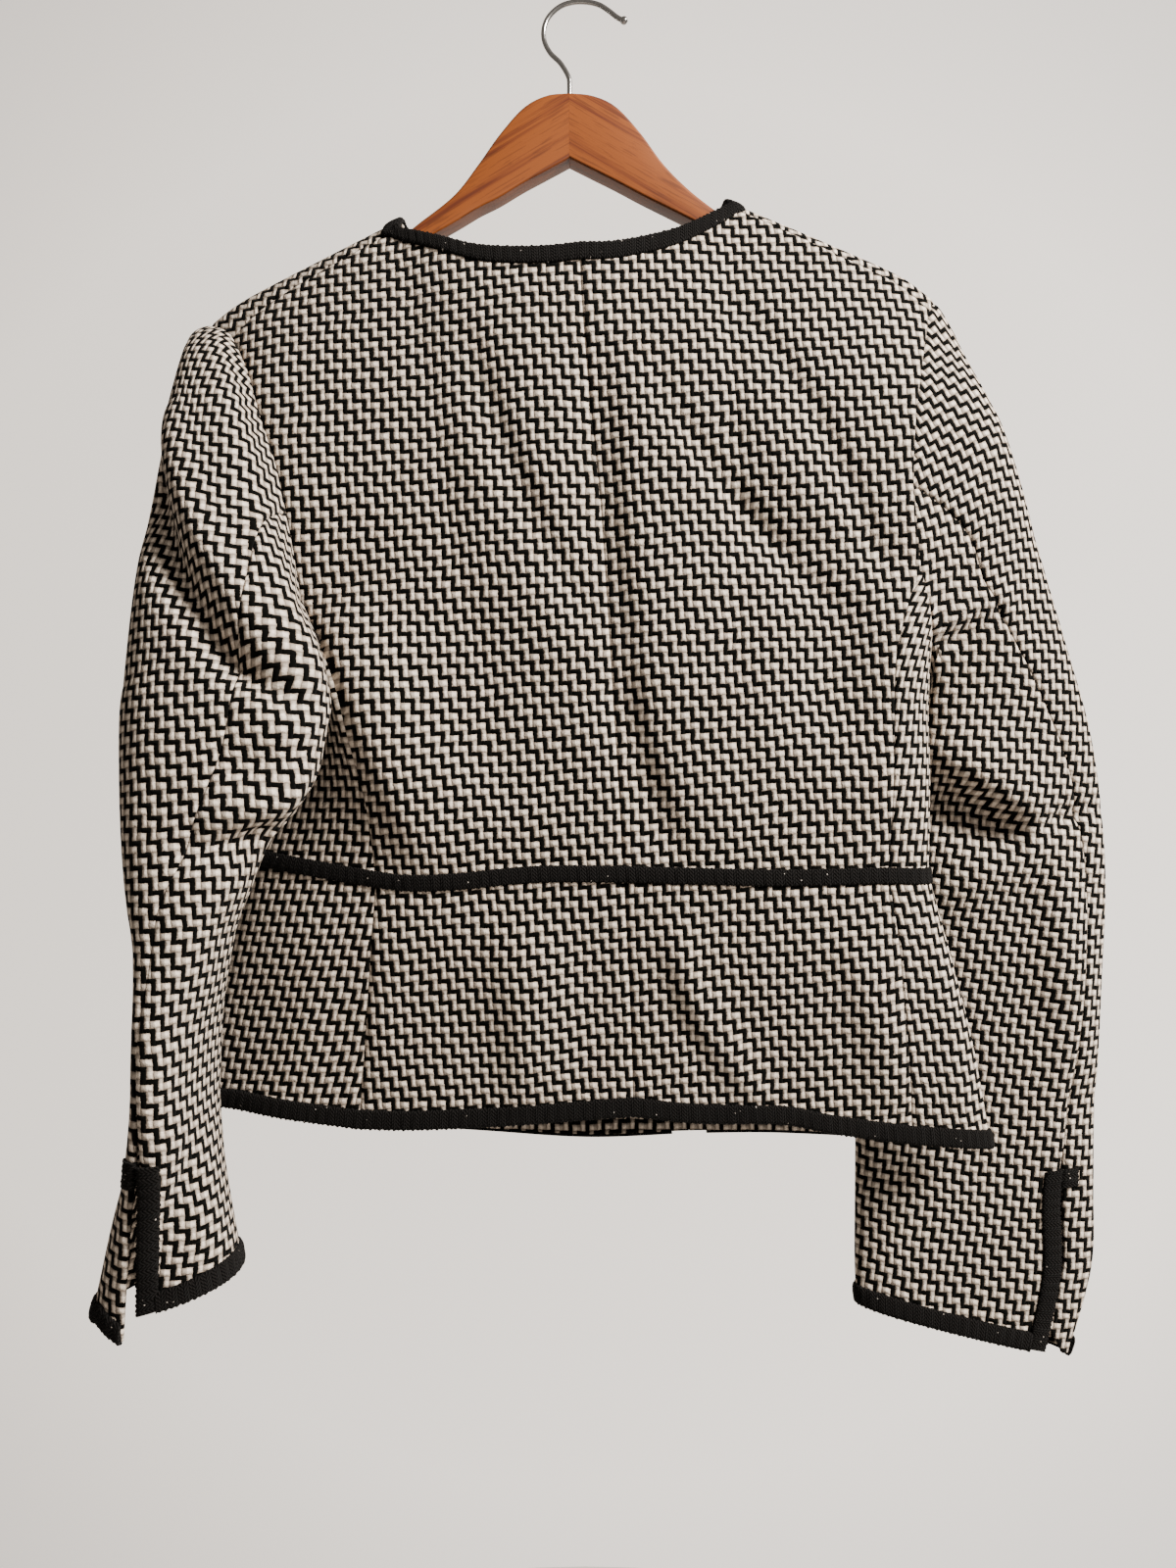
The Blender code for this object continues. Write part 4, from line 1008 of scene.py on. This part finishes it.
def braid(name, strip, section_rows, nodes, start=0.0, end=0.0, seed=1.0):
    """A braid along a strip of an edge; its face and its own edges are slightly bumpy."""
    p, n, run = resample(*strip, BRAID_STEP, start, end)
    beat = run * 2 * math.pi / BRAID_BEAT
    tangent = np.gradient(p[:, 4], axis=0)
    tangent /= np.linalg.norm(tangent, axis=1)[:, None]
    rings = np.zeros_like(p)
    uvs = np.zeros(p.shape[:2] + (2,))
    for k, (d, h) in enumerate(section_rows):
        bump = 0.22 * np.sin(beat + k) + 0.12 * np.sin(run * 0.9 + seed)
        rings[:, k] = p[:, k] + n[:, k] * (h + (bump * (h > 0.3)))[:, None]
        uvs[:, k, 0] = run
        uvs[:, k, 1] = d if h > 0.03 else d * 0.98
        if 0.1 < h < 1.0:
            wave = 0.42 * np.sin(beat + 1.7 * k) + 0.22 * np.sin(run * 1.3 + k)
            rings[:, k] += np.cross(tangent, n[:, k]) * wave[:, None]
    return loft(name, rings, uvs, BRAID, nodes)


def joined(*strips):
    """One strip from strips that meet end to end."""
    return tuple(join(*[strip[k] for strip in strips]) for k in (0, 1))


def turned(strip):
    return strip[0][::-1], strip[1][::-1]


def cut(strip, start, stop):
    return strip[0][start:stop], strip[1][start:stop]


def make_braids(faces, free):
    edge_d = [d for d, h in EDGE_SECTION]
    flat_d = [d for d, h in FLAT_SECTION]
    sides = ("left", "right")

    def strip(name, edge, distances=edge_d):
        return inset(faces[name][2:4], edge, distances)

    def from_middle(name, *edge):
        """A strip that runs from the centre back outwards."""
        found = strip(name, *edge)
        return turned(found) if name.endswith("left") else found

    def whole(halves):
        return joined(turned(halves[0]), halves[1])

    # neckline
    halves = []
    for side in sides:
        back = from_middle("back_" + side, "top")
        corner = np.array(CURVES["shoulder_" + side[0]][0])
        near = int(np.argmin(np.linalg.norm(back[0][:, 3] - corner, axis=1)))
        front = turned(strip("front_" + side, side))
        halves.append(joined(cut(back, 0, near + 1), cut(front, 0, free[side] + 1)))
    braid("neck_braid", whole(halves), EDGE_SECTION, ["braid_neck"], MITRE, MITRE)
    # hem
    halves = [joined(*[from_middle("peplum_" + p + "_" + side, "bottom")
                       for p in ("back", "side", "front")]) for side in sides]
    braid("hem_braid", whole(halves), EDGE_SECTION, ["braid_hem"], MITRE, MITRE, 2.0)
    # waist: lower half from the peplum, upper half from the bodice
    halves = []
    upper = np.array(flat_d)[None, :, None] >= 0
    for side in sides:
        parts = []
        for p in ("back", "side", "front"):
            above = from_middle(p + "_" + side, "bottom", [max(d, 0) for d in flat_d])
            below = from_middle("peplum_" + p + "_" + side, "top", [max(-d, 0) for d in flat_d])
            parts.append(tuple(np.where(upper, above[k], below[k]) for k in (0, 1)))
        halves.append(joined(*parts))
    braid("waist_braid", whole(halves), FLAT_SECTION, ["braid_waist"], MITRE, MITRE, 3.0)
    # front edges
    for side in sides:
        front = cut(turned(strip("front_" + side, side)), free[side], None)
        low = turned(strip("peplum_front_" + side, side))
        braid("front_edge_braid_" + side, joined(front, low), EDGE_SECTION,
              ["braid_front_" + side])
    # cuffs and vents; the vent is on the under sleeve's edge of the same name as its side
    for side, other, way in (("left", "right", 1), ("right", "left", -1)):
        for part, ends in (("upper", (0.4, CUFF_STOP[side])), ("under", (8.6, 0.4))):
            braid("cuff_braid_" + part + "_" + side, strip("sleeve_" + part + "_" + side, "bottom"),
                  EDGE_SECTION, ["braid_cuff_" + part + "_" + side], *ends[::way])
        under = strip("sleeve_under_" + side, side)
        keep = int(np.searchsorted(length_along(under[0][:, 5]), VENT_LONG[side] + 9.0))
        braid("vent_braid_" + side, cut(under, 0, keep), EDGE_SECTION, ["braid_vent_" + side],
              seed=4.0)
        # the braid turns and crosses the top of the vent
        over = strip("sleeve_upper_" + side, other)
        top = under[0][keep - 1, 3, 2]
        first, last = np.searchsorted(over[0][:, 3, 2], (top - 12.5, top))
        braid("vent_top_braid_" + side, cut(over, first, last + 1), EDGE_SECTION,
              ["braid_vent_" + side], seed=5.0)


# ---- the hanger --------------------------------------------------------------------------
# reach: distance from the middle joint; top, under: heights of the arm's edges;
# thick: share of the wood's full thickness
ARM_COLUMNS = ("reach", "top", "under", "thick")
ARM_L = [(0.15, -57, -97, 1.0), (14, -58.5, -104.5, 1.0), (28, -66, -112, 1.0),
         (43, -83, -121, 1.0), (55, -100, -127, 1.0), (70, -119, -136, 1.0),
         (93, -137, -149, 0.95), (103, -145.5, -156, 0.85), (135, -170, -180, 0.8),
         (165, -189, -197, 0.75), (185, -204, -209, 0.6)]
ARM_R = [(0.15, -57, -97, 1.0), (14, -58.5, -104, 1.0), (28, -65, -111, 1.0),
         (43, -81, -119, 1.0), (57, -100, -126, 1.0), (73, -116, -134, 1.0),
         (90, -129, -143, 0.95), (96, -132.5, -146, 0.9), (128, -151, -163, 0.8),
         (163, -167, -178, 0.75), (190, -183, -191, 0.6)]
GRAIN_SLOPE = {1: 30, -1: 31}      # degrees down from the joint, along each arm's lower edge


def hanger_arm(name, table, way, node_name):
    """One arm, with rounded edges, rounder above than below."""
    per = 6
    rings, uvs = [], []
    slope = math.radians(GRAIN_SLOPE[way])
    for row in spline(table, np.linspace(0, 1, 60)):
        r = dict(zip(ARM_COLUMNS, row))
        half = WOOD_T / 2 * r["thick"]
        above = min(3.2, (r["top"] - r["under"]) / 3)
        below = min(1.6, above)
        x = JOINT_X + way * max(r["reach"] - 0.13, 0.02)
        ring = []
        for y, z, cy, cz, first, c in ((half, r["top"], -1, -1, 0, above),
                                       (-half, r["top"], 1, -1, 90, above),
                                       (-half, r["under"], 1, 1, 180, below),
                                       (half, r["under"], -1, 1, 270, below)):
            for k in range(per + 1):
                a = math.radians(first + 90.0 * k / per)
                ring.append((x, y + cy * c + c * math.cos(a), z + cz * c + c * math.sin(a)))
        ring = np.array(ring)
        rings.append(ring)
        # straight grain at the slope of the lower edge
        out, up = way * (ring[:, 0] - JOINT_X), ring[:, 2] + 97.0
        uvs.append(np.stack([out * math.cos(slope) - up * math.sin(slope) + 300 * way,
                             out * math.sin(slope) + up * math.cos(slope) + ring[:, 1] * 0.35],
                            axis=1))
    return loft(name, np.array(rings), np.array(uvs), WOOD, [node_name])


def hanger_hook():
    """The bent wire, x and z along its middle, from the stem to the ball at its tip."""
    pts = [(-6.5, -58.0), (-6.5, -48.0), (-7.4, -43.5), (-11.9, -36.0), (-18.3, -29.5),
           (-21.9, -22.0), (-21.9, -14.0), (-18.6, -7.0), (-11.9, -1.2), (-4.0, 1.3),
           (4.0, 1.4), (11.5, -0.3), (17.5, -4.0), (22.5, -7.9), (26.0, -9.6), (29.0, -10.3)]
    line = spline(pts, np.linspace(0, 1, 160))
    tangent = np.gradient(line, axis=0)
    tangent /= np.linalg.norm(tangent, axis=1)[:, None]
    run = length_along(line)
    a = np.linspace(0, 2 * math.pi, 17)[:-1]
    rings, uvs = [], []
    for p, t, s in zip(line, tangent, run):
        r = WIRE_R
        if s > run[-1] - 2 * BALL_HALF:
            share = (s - run[-1] + BALL_HALF) / BALL_HALF
            ball = BALL_R * math.sqrt(max(0.0, 1 - share ** 2))
            r = max(0.25, ball) if s > run[-1] - 0.6 else max(WIRE_R, ball)
        side = np.array((-t[1], t[0]))
        rings.append(np.stack([p[0] + r * np.cos(a) * side[0], r * np.sin(a),
                               p[1] + r * np.cos(a) * side[1]], axis=1))
        uvs.append(np.stack([np.full(16, s), a * r], axis=1))
    return loft("hook_wire", np.array(rings), np.array(uvs), WIRE, ["hanger_hook"])


# ---- making it all -----------------------------------------------------------------------
SHEETS, WEAVE, FREE = make_sheets()
FACES = shape_sheets(SHEETS)
# the pattern does not run on across seams: each panel's weave starts elsewhere
OFFSET = {"sleeve_under": (5.0, 4.0), "side": (3.0, 1.0), "peplum_back": (0.0, 2.0),
          "peplum_side": (4.0, 3.0), "peplum_front": (1.0, 1.0)}
for name, (outer, inner, smooth, n) in FACES.items():
    kind = "_".join(name.split("_")[:-1])
    shell("cloth_" + name, outer, inner, WEAVE[name], TWEED, name,
                         OFFSET.get(kind, (0.0, 0.0)))
make_braids(FACES, FREE)

hanger_arm("wood_arm_left", ARM_L, -1, "hanger_arm_left")
hanger_arm("wood_arm_right", ARM_R, 1, "hanger_arm_right")
hanger_hook()


# ---- floor, light and camera -------------------------------------------------------------
def floor():
    bm = bmesh.new()
    bmesh.ops.create_circle(bm, cap_ends=True, segments=96, radius=1.3)
    mesh = bpy.data.meshes.new("studio_floor")
    bm.to_mesh(mesh)
    bm.free()
    mesh.materials.append(new_material("pale_floor", {"Base Color": hexcolour("DDD8D2"),
                                                      "Roughness": 0.8})[0])
    obj = bpy.data.objects.new("studio_floor", mesh)
    obj.location = (0, 0, -1.85)
    bpy.context.scene.collection.objects.link(obj)


def area_light(name, place, aim, size, power, colour):
    data = bpy.data.lights.new(name, "AREA")
    data.shape = "RECTANGLE"
    data.size, data.size_y = size
    data.energy = power
    data.color = colour
    obj = bpy.data.objects.new(name, data)
    obj.location = place
    obj.rotation_euler = (Vector(aim) - Vector(place)).to_track_quat("-Z", "Y").to_euler()
    bpy.context.scene.collection.objects.link(obj)


def pale_room():
    """The room all round: brightest beyond the jacket, and warmer towards the window."""
    world = bpy.data.worlds.new("pale_room")
    bpy.context.scene.world = world
    world.use_nodes = True
    t = world.node_tree
    way = node(t, "TexCoord", out="Generated")
    beyond = node(t, "MapRange", {"Value": node(t, "SeparateXYZ", way, out="Y"),
                                  "From Min": 0.55, "From Max": 0.85, "To Min": 0.62,
                                  "To Max": 2.4})
    across = node(t, "MapRange", {"Value": node(t, "SeparateXYZ", way, out="X"),
                                  "From Min": -0.5, "From Max": 0.4})
    tint = node(t, "Mix", {0: across, 6: hexcolour("CFC6BC"), 7: hexcolour("EEE5DB")}, out=2,
                data_type="RGBA")
    sky = t.nodes["Background"]
    t.links.new(tint, sky.inputs["Color"])
    t.links.new(beyond, sky.inputs["Strength"])


floor()
pale_room()
area_light("window_light", (1.5, -0.95, 0.65), (0.0, 0.0, -0.4), (0.6, 0.7), 215.0,
           (1.0, 0.95, 0.89))

camera_data = bpy.data.cameras.new("camera")
camera_data.lens = 26.0
camera_data.sensor_width = 36.0
camera = bpy.data.objects.new("camera", camera_data)
camera.location = (0.0048, -0.690, -0.475)
camera.rotation_euler = (math.pi / 2, 0.0, 0.0)
bpy.context.scene.collection.objects.link(camera)
bpy.context.scene.camera = camera
